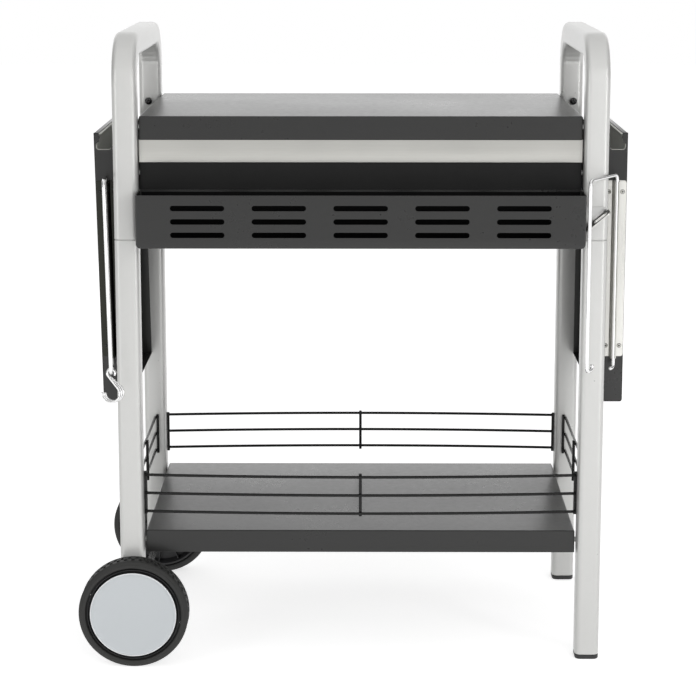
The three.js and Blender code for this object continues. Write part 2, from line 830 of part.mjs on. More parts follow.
// S-hook in the XZ plane, with the rail's wire at its origin: a loop over the wire, a slanted
// shank and a wide throat
function hookGeometry() {
  const inPlane = (x, z) => new THREE.Vector3(x, 0, z);
  const loopZ = half(railWire) + hookFit + half(hookWire) - hookLoopRadius;
  const throatX = hookShift;
  const throatZ = -hookDrop;
  const apart = Math.hypot(throatX, throatZ - loopZ);
  const bearing = THREE.MathUtils.radToDeg(Math.atan2(throatZ - loopZ, throatX));
  const lean = THREE.MathUtils.radToDeg(
    Math.acos((hookLoopRadius + hookThroatRadius) / apart));
  const leave = bearing - lean + 360;
  const join = bearing - lean + 180;
  return sweep(disc(half(hookWire)), [
    ...bend(inPlane, 0, loopZ, hookLoopRadius, -loopOpening, leave, 2 * bendSteps),
    ...bend(inPlane, throatX, throatZ, hookThroatRadius, join, -throatOpening, 2 * bendSteps),
  ], wireSteps);
}

function addTable(side, lean, swing) {
  const name = sideNames[side];
  const table = new THREE.Group();
  table.position.set(side * pivotX, 0, pivotHeight);
  table.rotation.y = side * THREE.MathUtils.degToRad(lean);
  cart.add(table);
  addMesh(table, `${name}_table`, tableGeometry(), darkPaint).rotation.z =
    side < 0 ? Math.PI : 0;
  const plateY = -tableHalfWidth - fit;
  addMesh(table, `${name}_rail_plate`, railPlateGeometry(), brushedSteel,
    side * railPivotOut, plateY - railPivotForward, -plateTopDrop);
  const rail = new THREE.Group();
  rail.position.set(side * railPivotOut, plateY - railPivotForward, 0);
  rail.rotation.z = -Math.PI / 2 - side * THREE.MathUtils.degToRad(swing);
  table.add(rail);
  addMesh(rail, `${name}_swing_rail`, swingRailGeometry(), chromeWire);
  return rail;
}

addTable(1, rightTableLean, rightRailSwing);
const leftRail = addTable(-1, leftTableLean, leftRailSwing);
for (let index = 0; index < hookCount; index += 1) {
  const place = index - half(hookCount - 1);
  const hook = addMesh(leftRail, `s_hook_${index + 1}`, hookGeometry(), chromeWire,
    railWidth - railCurl - half(railCurlFlat) + hookPitch * place, 0,
    -railTopDrop - railFreeLength);
  hook.rotation.set(0, THREE.MathUtils.degToRad(hookSpread * place), Math.PI / 2, 'ZYX');
}

// Bottle opener: a plate on the leg's front face, cut on the slant, and a lip with a window
// that stands out from the leg along that slant
function openerGeometry() {
  const slant = THREE.MathUtils.degToRad(openerSlant);
  const rise = openerPlateWidth * Math.tan(slant);
  const plateShape = new THREE.Shape();
  plateShape.moveTo(0, 0);
  plateShape.lineTo(openerPlateWidth, rise);
  plateShape.lineTo(openerPlateWidth, openerPlateHeight - openerPlateCorner);
  plateShape.lineTo(openerPlateWidth - openerPlateCorner, openerPlateHeight);
  plateShape.lineTo(0, openerPlateHeight);
  plateShape.closePath();
  const plate = standing(plateShape, openerSheet);
  const corner = openerLipCorner;
  const lipShape = new THREE.Shape();
  lipShape.moveTo(0, 0);
  lipShape.lineTo(openerLipWidth, 0);
  lipShape.absarc(openerLipWidth - corner, openerLipLength - corner, corner, 0, Math.PI / 2);
  lipShape.lineTo(0, openerLipLength);
  lipShape.closePath();
  const opening = roundedOblong(openerWindowWidth, openerWindowLength, openerWindowCorner,
    openerWindowStart + half(openerWindowWidth), openerWindowInset + half(openerWindowLength));
  lipShape.holes.push(opening);
  const lip = prism(lipShape, openerSheet);
  lip.translate(0, 0, -half(openerSheet));
  const along = new THREE.Vector3(Math.cos(slant), 0, Math.sin(slant));
  const forward = new THREE.Vector3(0, -1, 0);
  lip.applyMatrix4(new THREE.Matrix4().makeBasis(along, forward, along.clone().cross(forward)));
  return joined([plate, lip]);
}
addMesh(cart, 'bottle_opener', openerGeometry(), brushedSteel,
  legInnerX + openerStart, -legOuterY - fit, seamHeight + openerRise);

// The origin is set on the floor in the middle of the outer box
cart.updateMatrixWorld(true);
const outerBox = new THREE.Box3().setFromObject(cart, true);
const middle = outerBox.getCenter(new THREE.Vector3());
cart.position.set(-middle.x, -middle.y, 0);

export default cart;
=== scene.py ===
"""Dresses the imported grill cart: finer pieces and finishes over its solids, a pale floor, soft
lamps and the camera. Everything is in metres, +Z up, with the cart's front towards -Y."""

import json
import math

import bmesh
import bpy
from bpy.props import FloatProperty, FloatVectorProperty, IntProperty, PointerProperty
from mathutils import Matrix, Vector

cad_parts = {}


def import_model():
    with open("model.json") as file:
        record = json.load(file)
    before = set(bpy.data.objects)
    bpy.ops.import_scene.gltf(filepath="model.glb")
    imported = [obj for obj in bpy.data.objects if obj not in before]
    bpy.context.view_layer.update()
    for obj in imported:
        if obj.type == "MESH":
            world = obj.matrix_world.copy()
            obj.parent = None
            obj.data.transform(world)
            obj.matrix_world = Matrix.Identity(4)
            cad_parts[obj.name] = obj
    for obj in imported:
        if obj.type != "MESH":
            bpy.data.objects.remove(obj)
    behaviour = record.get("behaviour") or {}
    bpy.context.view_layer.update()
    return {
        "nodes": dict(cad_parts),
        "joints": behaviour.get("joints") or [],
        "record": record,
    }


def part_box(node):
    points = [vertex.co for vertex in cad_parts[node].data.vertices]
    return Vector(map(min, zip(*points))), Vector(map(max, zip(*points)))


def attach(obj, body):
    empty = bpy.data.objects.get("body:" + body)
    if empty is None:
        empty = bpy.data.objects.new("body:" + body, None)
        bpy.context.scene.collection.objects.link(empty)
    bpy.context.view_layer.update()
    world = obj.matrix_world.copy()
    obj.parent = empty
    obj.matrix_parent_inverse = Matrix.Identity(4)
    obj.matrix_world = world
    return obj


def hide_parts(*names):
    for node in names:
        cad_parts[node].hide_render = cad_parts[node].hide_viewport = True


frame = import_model()

bl_info = {
    "name": "Grill cart",
    "version": (1, 0, 0),
    "blender": (4, 5, 0),
    "location": "3D View > Sidebar > Grill cart",
    "description": "Builds a grill cart's visible pieces, finishes and studio",
    "category": "Object",
}

MM = 0.001
WELD = 1e-6
FRONT = Vector((0, -1, 0))
REAR = Vector((0, 1, 0))
LEFT = Vector((-1, 0, 0))
RIGHT = Vector((1, 0, 0))
UP = Vector((0, 0, 1))
SMOOTH_ANGLE = math.radians(38)
PANEL_LOW, PANEL_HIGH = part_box("top_panel")
MIDDLE = Vector(((PANEL_LOW.x + PANEL_HIGH.x) / 2, (PANEL_LOW.y + PANEL_HIGH.y) / 2, 0))
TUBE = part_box("front_left_leg")[1].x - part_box("front_left_leg")[0].x
SLOTS = {row["node"]: row["material_slot"] for row in frame["record"]["subparts"]}
ANCHORS = {joint["name"]: Vector(joint["pos_m"]) for joint in frame["joints"]}


# Sizes and colours that a user may change

def length(name, description, default):
    return FloatProperty(name=name, description=description, default=default, min=0,
                         unit="LENGTH", subtype="DISTANCE", precision=5)


def count(name, description, default):
    return IntProperty(name=name, description=description, default=default, min=1)


def number(name, description, default):
    return FloatProperty(name=name, description=description, default=default)


def turn(name, description, degrees):
    return FloatProperty(name=name, description=description, default=math.radians(degrees),
                         subtype="ANGLE", unit="ROTATION")


def colour(name, description, default):
    return FloatVectorProperty(name=name, description=description, default=default, size=3,
                               min=0, max=1, subtype="COLOR")


class TubeSettings(bpy.types.PropertyGroup):
    corner: length("Corner", "Radius of the square tube's corners", 0.0095)
    bend: length("Bend", "Centre line radius of the handle bends", 0.06)
    wall: length("Wall", "Wall of the tube", 0.0015)
    dent: length("Dent", "How far the inner wall sinks in a bend", 0.0022)
    ripple: length("Ripple", "Height of the ripples inside a bend", 0.0005)
    ripples: count("Ripples", "Ripples along the inside of one bend", 7)


class SheetSettings(bpy.types.PropertyGroup):
    thickness: length("Thickness", "Sheet thickness of panels and tray", 0.0012)
    fold: length("Fold", "Outer radius of a folded edge", 0.0022)
    corner: length("Corner", "Radius of the upright corners", 0.0016)
    flange: length("Flange", "Width of the casing's flanges", 0.014)
    rim: length("Rim", "Rounding of cut edges", 0.00025)


class TraySettings(bpy.types.PropertyGroup):
    corner: length("Corner", "Radius of the lower corners", 0.007)
    slot_length: length("Slot length", "Length of a slot", 0.0876)
    slot_height: length("Slot height", "Height of a slot", 0.0088)
    pitch_x: length("Column pitch", "Distance between slot columns", 0.1315)
    pitch_z: length("Row pitch", "Distance between slot rows", 0.02175)
    lowest: length("Lowest row", "Height of the lowest row above the tray's bottom", 0.022)
    columns: count("Columns", "Slots beside each other", 5)
    rows: count("Rows", "Slots above each other", 3)


class GuardSettings(bpy.types.PropertyGroup):
    wire: length("Wire", "Diameter of the guard wires", 0.005)
    pitch: length("Pitch", "Distance between the wires", 0.0315)
    overlap: length("Weld overlap", "How far wire and post sink together", 0.0008)
    wires: count("Wires", "Wires of one guard rail", 3)


class WheelSettings(bpy.types.PropertyGroup):
    seat: length("Tyre seat", "Radius where the tyre sits on the rim", 0.079)
    tread: length("Tread depth", "Depth of the tread's grooves", 0.0022)
    blocks: count("Blocks", "Tread blocks in one row", 46)
    ribs: count("Ribs", "Ribs behind the rim", 12)
    disc: length("Disc", "Radius of the cap disc", 0.0724)
    tyre_sides: count("Tyre sides", "Sides of the tyre's rings", 144)
    rim_sides: count("Rim sides", "Sides of the rim's rings", 96)
    cap_sides: count("Cap sides", "Sides of the cap's rings", 120)


class TableSettings(bpy.types.PropertyGroup):
    lean_left: turn("Left lean", "Lean of the left table", 1)
    reach_out: length("Outer reach", "Pivot to the table's outer face", 0.052)
    reach_in: length("Inner reach", "Pivot to the flange's inner edge", 0.0094)
    rise: length("Rise", "Pivot to the upper edge", 0.024)
    drop: length("Drop", "Pivot to the lower edge", 0.4285)
    lug: length("Lug", "Radius of the flange round the pivot", 0.021)
    lip: length("Lip", "Width of the top flange", 0.0087)
    stiffener: length("Stiffener height", "Height of the inner stiffener over the floor", 0.631)


class RailSettings(bpy.types.PropertyGroup):
    wire: length("Wire", "Diameter of the rail wire", 0.006)
    width: length("Width", "Rail width over the wire's centres", 0.0985)
    top_drop: length("Top drop", "Pivot height to the top bar", 0.043)
    pivot_length: length("Pivot leg", "Length of the upright", 0.323)
    free_length: length("Free leg", "Length of the free leg", 0.313)
    bend: length("Bend", "Radius of the upper bends", 0.009)
    curl: length("Curl", "Radius of the lower hook's bends", 0.006)
    out: length("Out", "Table pivot to the upright, outwards", 0.0335)
    forward: length("Forward", "Plate back to the upright", 0.0177)
    swing_right: turn("Right swing", "Turn of the right rail at rest", 32)
    swing_left: turn("Left swing", "Turn of the left rail at rest", 5.5)
    plate_width: length("Plate width", "Width of the rail plate", 0.0355)
    plate_length: length("Plate length", "Length of the rail plate", 0.2958)
    plate_drop: length("Plate drop", "Table pivot to the plate's top", 0.0547)
    plate_thickness: length("Plate thickness", "Thickness of the rail plate", 0.0012)
    channel_wall: length("Channel wall", "Wall of the wire channel", 0.0014)


class HookSettings(bpy.types.PropertyGroup):
    wire: length("Wire", "Diameter of the hook wire", 0.0034)
    fit: length("Fit", "Clearance of the hook on the rail", 0.00055)
    pitch: length("Pitch", "Distance between the hooks", 0.0038)
    loop: length("Loop", "Radius of the upper loop", 0.0064)
    throat: length("Throat", "Radius of the throat", 0.0145)
    drop: length("Drop", "Rail to the throat's centre", 0.035)
    shift: length("Shift", "Sideways shift of the throat", 0.001)
    spread: turn("Spread", "Turn from hook to hook", 5)


class OpenerSettings(bpy.types.PropertyGroup):
    thickness: length("Thickness", "Steel thickness", 0.002)
    slant: turn("Slant", "Slant of the lip", 40)
    plate_width: length("Plate width", "Width on the leg", 0.035)
    plate_height: length("Plate height", "Height on the leg", 0.037)
    lip_width: length("Lip width", "Length of the lip along its slant", 0.051)
    lip_length: length("Lip length", "Reach of the lip", 0.034)
    window_start: length("Window start", "Plate edge to the window", 0.019)
    window_width: length("Window width", "Window along the slant", 0.025)
    window_length: length("Window length", "Window towards the front", 0.019)
    window_inset: length("Window inset", "Leg to the window", 0.008)


class FinishSettings(bpy.types.PropertyGroup):
    silver: colour("Silver paint", "Powder coat of the tubes", (0.66, 0.66, 0.645))
    dark: colour("Dark paint", "Powder coat of the sheets", (0.0155, 0.0155, 0.015))
    # Partly painted shade: darker than the dark paint, for the shade under the top panel's
    # overhang and behind the tray
    casing: colour("Casing paint", "Casing below the top panel", (0.006, 0.006, 0.006))
    # Painted shade: the near-black sheet at the back of the tray stands in for the shade inside
    # the tray
    matt: colour("Matt black", "Back of the tray", (0.003, 0.003, 0.003))
    strip: colour("Strip steel", "Brushed strip across the front", (0.485, 0.48, 0.455))
    steel: colour("Plate steel", "Right rail plate and opener", (0.64, 0.635, 0.605))
    opener: colour("Opener plate", "Plate of the bottle opener", (0.57, 0.57, 0.56))
    # Painted shade: the dark colour of the steel lip's faces
    lip: colour("Opener lip", "Dark faces of the opener's lip", (0.05, 0.05, 0.045))
    # Painted reflection: the left rail plate is the same steel as the right one, darkened for
    # the dark surroundings it reflects
    smoked: colour("Dark plate steel", "Left rail plate", (0.034, 0.035, 0.030))
    chrome: colour("Chrome", "Rails and hooks", (0.80, 0.80, 0.80))
    wire: colour("Black wire", "Guard rails", (0.005, 0.005, 0.005))
    plastic: colour("Black plastic", "Feet and rims", (0.022, 0.022, 0.023))
    rubber: colour("Rubber", "Tyres", (0.019, 0.019, 0.018))
    disc: colour("Wheel disc", "Cap discs of the wheels", (0.60, 0.63, 0.65))
    # Painted highlight: the bright colour of the bead stands in for the highlight on the disc's
    # rolled edge
    bead: colour("Cap bead", "Bright edge of the cap discs", (0.88, 0.89, 0.90))
    zinc: colour("Zinc", "Bolts, pins and collars", (0.48, 0.48, 0.475))
    axle: colour("Axle", "Blackened axle", (0.05, 0.05, 0.05))
    bolt: colour("Black bolt", "Stop bolts of the tables", (0.010, 0.010, 0.010))
    # Partly painted light: the liner's near-white colour also stands in for the light on the
    # table's inner face
    liner: colour("Liner", "Channel inside the tables' top edge", (0.84, 0.85, 0.78))
    # Painted highlight: the pale edge at the notches' upward-facing foot
    notch: colour("Notch edges", "Bare edges of the tables' notches", (0.40, 0.40, 0.37))


class StudioSettings(bpy.types.PropertyGroup):
    floor: colour("Floor", "Colour of the floor", (0.86, 0.86, 0.86))
    floor_glow: number("Floor glow", "What camera and reflections see of the floor", 0.66)
    ambient: number("Ambient", "World light on the object", 0.45)
    side_wall: number("Side walls", "How bright reflections see the side walls", 0.3)
    key: number("Key lamp", "Watts of the lamp in front", 38)
    left: number("Left lamp", "Watts of the narrow lamp on the left", 9)
    right: number("Right lamp", "Watts of the narrow lamp on the right", 13)
    back: number("Back lamp", "Watts of the wide lamp behind", 19)
    lens: number("Lens", "Focal length in millimetres", 111.16)
    shift: number("Shift", "Upward shift of the picture", -0.05)
    distance: length("Distance", "Origin to the camera, forward", 3.7067)
    height: length("Camera height", "Height of the camera", 1.25)
    pitch: turn("Pitch", "Camera tilt from straight down", 79.39)
    yaw: turn("Yaw", "Camera turn to the left", 0.34)


GROUPS = {
    "tube": TubeSettings, "sheet": SheetSettings, "tray": TraySettings,
    "guard": GuardSettings, "wheel": WheelSettings, "table": TableSettings,
    "rail": RailSettings, "hook": HookSettings, "opener": OpenerSettings,
    "finish": FinishSettings, "studio": StudioSettings,
}


class CartSettings(bpy.types.PropertyGroup):
    """Holds every group of settings under its short name"""
    __annotations__ = {part: PointerProperty(type=group) for part, group in GROUPS.items()}


def settings():
    return bpy.context.scene.grill_cart


# Node trees

FLOAT, VECTOR, COLOUR = "NodeSocketFloat", "NodeSocketVector", "NodeSocketColor"
WHOLE, SHAPE, MATERIAL = "NodeSocketInt", "NodeSocketGeometry", "NodeSocketMaterial"


class Tree:
    """A node tree with short ways to add and join nodes. Each value that they take is a
    plain one or another node's output."""

    def __init__(self, tree):
        self.tree = tree

    def join(self, value, socket):
        if isinstance(value, bpy.types.NodeSocket):
            self.tree.links.new(value, socket)
        else:
            socket.default_value = value

    def add(self, kind, inputs=None, **options):
        """A new node with its options and inputs set."""
        node = self.tree.nodes.new(kind)
        for key, value in options.items():
            setattr(node, key, value)
        for key, value in (inputs or {}).items():
            self.join(value, node.inputs[key])
        return node

    def out(self, kind, inputs=None, **options):
        """The first output of a new node."""
        return self.add(kind, inputs, **options).outputs[0]

    def math(self, operation, *values):
        return self.out("ShaderNodeMath", dict(enumerate(values)), operation=operation)

    def scaled(self, vector, factor):
        return self.out("ShaderNodeVectorMath", {0: vector, "Scale": factor},
                        operation="SCALE")

    def noise(self, place, scale, detail, **more):
        return self.out("ShaderNodeTexNoise", {"Vector": place, "Scale": scale,
                                               "Detail": detail, **more})

    def ranged(self, value, low, high, new_low=0.0, new_high=1.0, **options):
        """A value moved from one range to another."""
        return self.out("ShaderNodeMapRange", {
            "Value": value, "From Min": low, "From Max": high, "To Min": new_low,
            "To Max": new_high}, **options)

    def object_place(self):
        return self.add("ShaderNodeTexCoord").outputs["Object"]

    def seen(self, rays):
        """1 for camera, glossy and transmission rays, from the outputs of a Light Path."""
        direct = self.math("MAXIMUM", rays["Is Camera Ray"], rays["Is Glossy Ray"])
        return self.math("MAXIMUM", direct, rays["Is Transmission Ray"])

    def mix(self, factor, first, second):
        """A blend of two colours."""
        node = self.add("ShaderNodeMix", data_type="RGBA")
        sockets = {socket.identifier: socket for socket in node.inputs}
        for key, value in (("Factor_Float", factor), ("A_Color", first),
                           ("B_Color", second)):
            self.join(value, sockets[key])
        return next(s for s in node.outputs if s.identifier == "Result_Color")


def new_tree(name, kind, inputs, outputs):
    """A node group with named inputs, each (name, type, default), and outputs. It comes
    with what its inputs give."""
    tree = bpy.data.node_groups.new(name, kind)
    for label, socket, default in inputs:
        made = tree.interface.new_socket(label, in_out="INPUT", socket_type=socket)
        if default is not None:
            made.default_value = default
    for label, socket in outputs:
        tree.interface.new_socket(label, in_out="OUTPUT", socket_type=socket)
    t = Tree(tree)
    return t, t.add("NodeGroupInput").outputs


def surface_tree(name, *inputs):
    """A group that gives a surface its colour, roughness and height."""
    return new_tree(name, "ShaderNodeTree",
                    [("Colour", COLOUR, (0.5, 0.5, 0.5, 1)), ("Roughness", FLOAT, 0.4),
                     ("Gloss spread", FLOAT, 0.1), *inputs],
                    [("Colour", COLOUR), ("Roughness", FLOAT), ("Height", FLOAT)])


def end_surface(t, given, wander, spread, height):
    """Ends a surface group. Its shade and gloss follow a value that wanders round 1."""
    centred = t.math("ADD", wander, -1.0)
    shade = t.math("MULTIPLY_ADD", centred, spread, 1.0)
    gloss = t.math("MULTIPLY_ADD", centred, given["Gloss spread"], given["Roughness"])
    t.add("NodeGroupOutput", {"Colour": t.scaled(given["Colour"], shade),
                              "Roughness": gloss, "Height": height})
    return t.tree


def coat_group():
    """Powder coat: fine orange peel, slow shade changes and uneven gloss."""
    t, given = surface_tree("coat_texture", ("Peel scale", FLOAT, 700.0),
                            ("Shade spread", FLOAT, 0.04))
    place = t.object_place()
    peel = t.noise(place, given["Peel scale"], 2.0, Roughness=0.6)
    slow = t.noise(place, 5.0, 3.0)
    fine = t.noise(place, 90.0, 2.0)
    return end_surface(t, given, t.math("ADD", slow, fine), given["Shade spread"], peel)


def grain_group():
    """Brushed metal: fine lines along one direction, in colour, gloss and height."""
    t, given = surface_tree("brushed_grain", ("Line scale", VECTOR, (4.0, 600.0, 600.0)),
                            ("Line strength", FLOAT, 0.12))
    place = t.object_place()
    drawn = t.out("ShaderNodeVectorMath", {0: place, 1: given["Line scale"]},
                  operation="MULTIPLY")
    lines = t.noise(drawn, 1.0, 3.0, Roughness=0.7)
    cloud = t.noise(place, 9.0, 1.0)
    return end_surface(t, given, t.math("ADD", lines, cloud), given["Line strength"], lines)


def dust_group():
    """A light film of dust on faces that look up, as a mask."""
    t, given = new_tree("dust_film", "ShaderNodeTree",
                        [("Amount", FLOAT, 0.1), ("Scale", FLOAT, 40.0)], [("Mask", FLOAT)])
    normal = t.add("ShaderNodeNewGeometry").outputs["Normal"]
    upwards = t.add("ShaderNodeSeparateXYZ", {0: normal}).outputs["Z"]
    specks = t.noise(t.object_place(), given["Scale"], 4.0)
    lying = t.math("MULTIPLY", t.ranged(upwards, 0.3, 1.0), t.ranged(specks, 0.4, 0.75))
    t.add("NodeGroupOutput", {"Mask": t.math("MULTIPLY", lying, given["Amount"])})
    return t.tree


GROUP_MAKERS = {"coat_texture": coat_group, "brushed_grain": grain_group,
                "dust_film": dust_group}


def shared_group(name):
    return bpy.data.node_groups.get(name) or GROUP_MAKERS[name]()


# Finishes

DUST = (0.32, 0.31, 0.29, 1)
PAINT_RELIEF = {"Strength": 0.12, "Distance": 0.2 * MM}
ALONG_X = (5.0, 900.0, 900.0)
ALONG_Z = (900.0, 900.0, 5.0)
ALL_WAYS = (160.0, 160.0, 160.0)


def new_finish(name, group_name, values, shader, relief, dust=0.0):
    """A material whose colour, gloss and relief come from a shared group."""
    material = bpy.data.materials.new(name + "_finish")
    material.use_nodes = True
    t = Tree(material.node_tree)
    principled = material.node_tree.nodes["Principled BSDF"].inputs
    for key, value in shader.items():
        principled[key].default_value = value
    surface = t.add("ShaderNodeGroup", values, node_tree=shared_group(group_name)).outputs
    tint = surface["Colour"]
    if dust:
        film = t.out("ShaderNodeGroup", {"Amount": dust},
                     node_tree=shared_group("dust_film"))
        tint = t.mix(film, tint, DUST)
    t.join(tint, principled["Base Color"])
    t.join(surface["Roughness"], principled["Roughness"])
    bump = t.out("ShaderNodeBump", {"Height": surface["Height"], **relief})
    t.join(bump, principled["Normal"])
    return material


def painted(name, rgb, roughness, metallic=0.0, coat=0.0, spread=0.05, dust=0.0,
            peel=700.0, specular=0.5):
    shader = {"Metallic": metallic, "Coat Weight": coat, "Coat Roughness": 0.2,
              "Specular IOR Level": specular}
    values = {"Colour": (*rgb, 1.0), "Peel scale": peel, "Shade spread": spread,
              "Roughness": roughness, "Gloss spread": 0.1}
    return new_finish(name, "coat_texture", values, shader, PAINT_RELIEF, dust)


def brushed(name, rgb, roughness, lines=ALL_WAYS, strength=0.14, relief=0.2):
    values = {"Colour": (*rgb, 1.0), "Line scale": lines, "Line strength": strength,
              "Roughness": roughness, "Gloss spread": strength}
    return new_finish(name, "brushed_grain", values, {"Metallic": 1.0},
                      {"Strength": relief, "Distance": 0.1 * MM})


# Each finish: how it is made, its colour in the settings, its roughness and the rest
FINISHES = {
    "silver_paint": (painted, "silver", 0.31, {"metallic": 0.28, "spread": 0.03}),
    "dark_paint": (painted, "dark", 0.3, {"spread": 0.12, "dust": 0.02}),
    # Partly a darker paint, partly painted shade under the top panel
    "casing_paint": (painted, "casing", 0.6, {"spread": 0.1, "specular": 0.25}),
    # Painted shade inside the tray
    "matt_black": (painted, "matt", 0.9, {"specular": 0.1}),
    "brushed_steel": (brushed, "strip", 0.34, {"lines": ALONG_X}),
    "plate_steel": (brushed, "steel", 0.3, {"lines": ALONG_Z}),
    # Painted reflection of dark surroundings on the left plate's steel
    "smoked_steel": (brushed, "smoked", 0.36, {"lines": ALONG_Z}),
    "opener_steel": (brushed, "opener", 0.3, {"strength": 0.05}),
    # Painted shade on the steel lip
    "opener_lip": (painted, "lip", 0.6, {"spread": 0.1}),
    "chrome_wire": (brushed, "chrome", 0.07, {"strength": 0.03, "relief": 0.02}),
    "black_wire": (painted, "wire", 0.25, {"spread": 0.2, "specular": 0.3}),
    "black_plastic": (painted, "plastic", 0.5, {"spread": 0.15, "peel": 1200.0}),
    "tyre_rubber": (painted, "rubber", 0.62, {"spread": 0.2, "peel": 900.0}),
    "wheel_disc": (painted, "disc", 0.38, {"metallic": 0.25, "spread": 0.02}),
    # Painted highlight on the cap's edge
    "cap_bead": (painted, "bead", 0.2, {"metallic": 0.3, "spread": 0.02}),
    "axle_steel": (brushed, "axle", 0.25, {"strength": 0.1}),
    "zinc_steel": (brushed, "zinc", 0.33, {"strength": 0.1}),
    "black_bolt": (painted, "bolt", 0.25, {"coat": 0.3}),
    # Partly the inner face's pale colour, partly painted light
    "liner_paint": (painted, "liner", 0.4, {"spread": 0.06}),
    # Painted highlight on the notches' feet
    "notch_zinc": (painted, "notch", 0.4, {"spread": 0.06}),
}


def finish_of(name):
    """The material of a finish, made when it is first asked for."""
    made = bpy.data.materials.get(name + "_finish")
    if made:
        return made
    maker, shade, roughness, more = FINISHES[name]
    return maker(name, getattr(settings().finish, shade), roughness, **more)


# Meshes

def arc(centre_u, centre_v, radius, start, end, steps):
    """Points of an arc in a plane, angles in degrees."""
    angles = [math.radians(start + (end - start) * i / steps) for i in range(steps + 1)]
    return [(centre_u + radius * math.cos(a), centre_v + radius * math.sin(a))
            for a in angles]


def rounded_box(low_u, high_u, low_v, high_v, corner, steps=5):
    """A rectangle with round corners, anticlockwise."""
    r = max(corner, 0.1 * MM)
    return (arc(high_u - r, high_v - r, r, 0, 90, steps)
            + arc(low_u + r, high_v - r, r, 90, 180, steps)
            + arc(low_u + r, low_v + r, r, 180, 270, steps)
            + arc(high_u - r, low_v + r, r, 270, 360, steps))


def circle(radius, sides):
    return [(radius * math.cos(math.tau * i / sides), radius * math.sin(math.tau * i / sides))
            for i in range(sides)]


def offset_points(u, v, steps):
    """Points that lie a number of millimetres from one point."""
    return [(u + du * MM, v + dv * MM) for du, dv in steps]


def middle_of(node):
    low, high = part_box(node)
    return (low + high) / 2


def half_size(node):
    """Half of a node's width and half of its depth."""
    low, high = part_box(node)
    return (high.x - low.x) / 2, (high.y - low.y) / 2


def reach_of(node, way, centre):
    """How far a node reaches from a centre towards the front or the rear."""
    low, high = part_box(node)
    return abs((low.y if way.y < 0 else high.y) - centre.y)


def level_rings(box, corner, steps, places):
    """Level rings round a box's upright walls, one for each (inset, height)."""
    low, high = box
    return [[Vector((x, y, z)) for x, y in rounded_box(
        low.x + inset, high.x - inset, low.y + inset, high.y - inset, corner - inset,
        steps)] for inset, z in places]


def rounded_path(corners, radii, steps):
    """A line through corner points, each corner rounded by its radius."""
    path = [corners[0]]
    for before, here, after, radius in zip(corners, corners[1:], corners[2:], radii):
        back = (before - here).normalized()
        on = (after - here).normalized()
        angle = back.angle(on)
        reach = radius / math.tan(angle / 2)
        centre = here + (back + on).normalized() * (radius / math.sin(angle / 2))
        start = here + back * reach - centre
        end = here + on * reach - centre
        sweep_angle = math.pi - angle
        for i in range(steps + 1):
            share = i / steps
            a = math.sin((1 - share) * sweep_angle) / math.sin(sweep_angle)
            b = math.sin(share * sweep_angle) / math.sin(sweep_angle)
            path.append(centre + start * a + end * b)
    return path + [corners[-1]]


def drawn_path(corners, radii, steps):
    """A rounded path through corners that are drawn in the XZ plane."""
    return rounded_path([Vector((x, 0, z)) for x, z in corners], radii, steps)


def loft(bm, rings, closed=False):
    """Faces between rings of points with equal counts. A closed loft has no ends."""
    made = [[bm.verts.new(point) for point in ring] for ring in rings]
    pairs = list(zip(made, made[1:]))
    if closed:
        pairs.append((made[-1], made[0]))
    for one, two in pairs:
        for i in range(len(one)):
            j = (i + 1) % len(one)
            bm.faces.new((one[i], one[j], two[j], two[i]))
    if not closed:
        bm.faces.new(made[0][::-1])
        bm.faces.new(made[-1])


def sweep_rings(points, across, section):
    """Rings of a flat section along points that lie in one plane with the normal across."""
    rings = []
    for i, point in enumerate(points):
        along = points[min(i + 1, len(points) - 1)] - points[max(i - 1, 0)]
        side = along.normalized().cross(across)
        shape = section(i) if callable(section) else section
        rings.append([point + across * u + side * v for u, v in shape])
    return rings


def dome_rings(ring, centre, way, depth):
    """Rings that close a wire's end with a low dome."""
    rising = (0.55, 1.05, 1.4)
    return [[centre + way * depth * math.sin(a) + (point - centre) * math.cos(a)
             for point in ring] for a in rising]


def wire(name, points, radius, across, sides, place=None):
    """A round wire along points in one plane, with domed ends."""
    dome = 0.45 * radius
    rings = sweep_rings(points, across, circle(radius, sides))
    start = dome_rings(rings[0], points[0], (points[0] - points[1]).normalized(), dome)
    end = dome_rings(rings[-1], points[-1], (points[-1] - points[-2]).normalized(), dome)
    return lofted(name, start[::-1] + rings + end, place=place)


def lathe(bm, profile, sides, centre=Vector((0, 0, 0)), axis=FRONT):
    """Turns [radius, along] pairs about an axis. A profile off the axis closes on itself."""
    nearly_upright, on_axis = 0.9, 1e-7
    first = UP if abs(axis.z) < nearly_upright else RIGHT
    second = axis.cross(first)
    rings = []
    for radius, along in profile:
        middle = centre + axis * along
        if radius < on_axis:
            rings.append([bm.verts.new(middle)])
            continue
        rings.append([bm.verts.new(middle + first * radius * math.cos(math.tau * i / sides)
                                   + second * radius * math.sin(math.tau * i / sides))
                      for i in range(sides)])
    pairs = list(zip(rings, rings[1:]))
    if len(rings[0]) > 1:
        pairs.append((rings[-1], rings[0]))
    for one, two in pairs:
        for i in range(sides):
            j = (i + 1) % sides
            if len(one) == 1 and len(two) > 1:
                bm.faces.new((one[0], two[j], two[i]))
            elif len(two) == 1 and len(one) > 1:
                bm.faces.new((one[i], one[j], two[0]))
            elif len(one) > 1:
                bm.faces.new((one[i], one[j], two[j], two[i]))


def new_object(name, data):
    obj = bpy.data.objects.new(name, data)
    bpy.context.scene.collection.objects.link(obj)
    return obj


def evaluated_mesh(obj):
    """The plain mesh of an object with its modifiers."""
    graph = bpy.context.evaluated_depsgraph_get()
    graph.update()
    return bpy.data.meshes.new_from_object(obj.evaluated_get(graph))


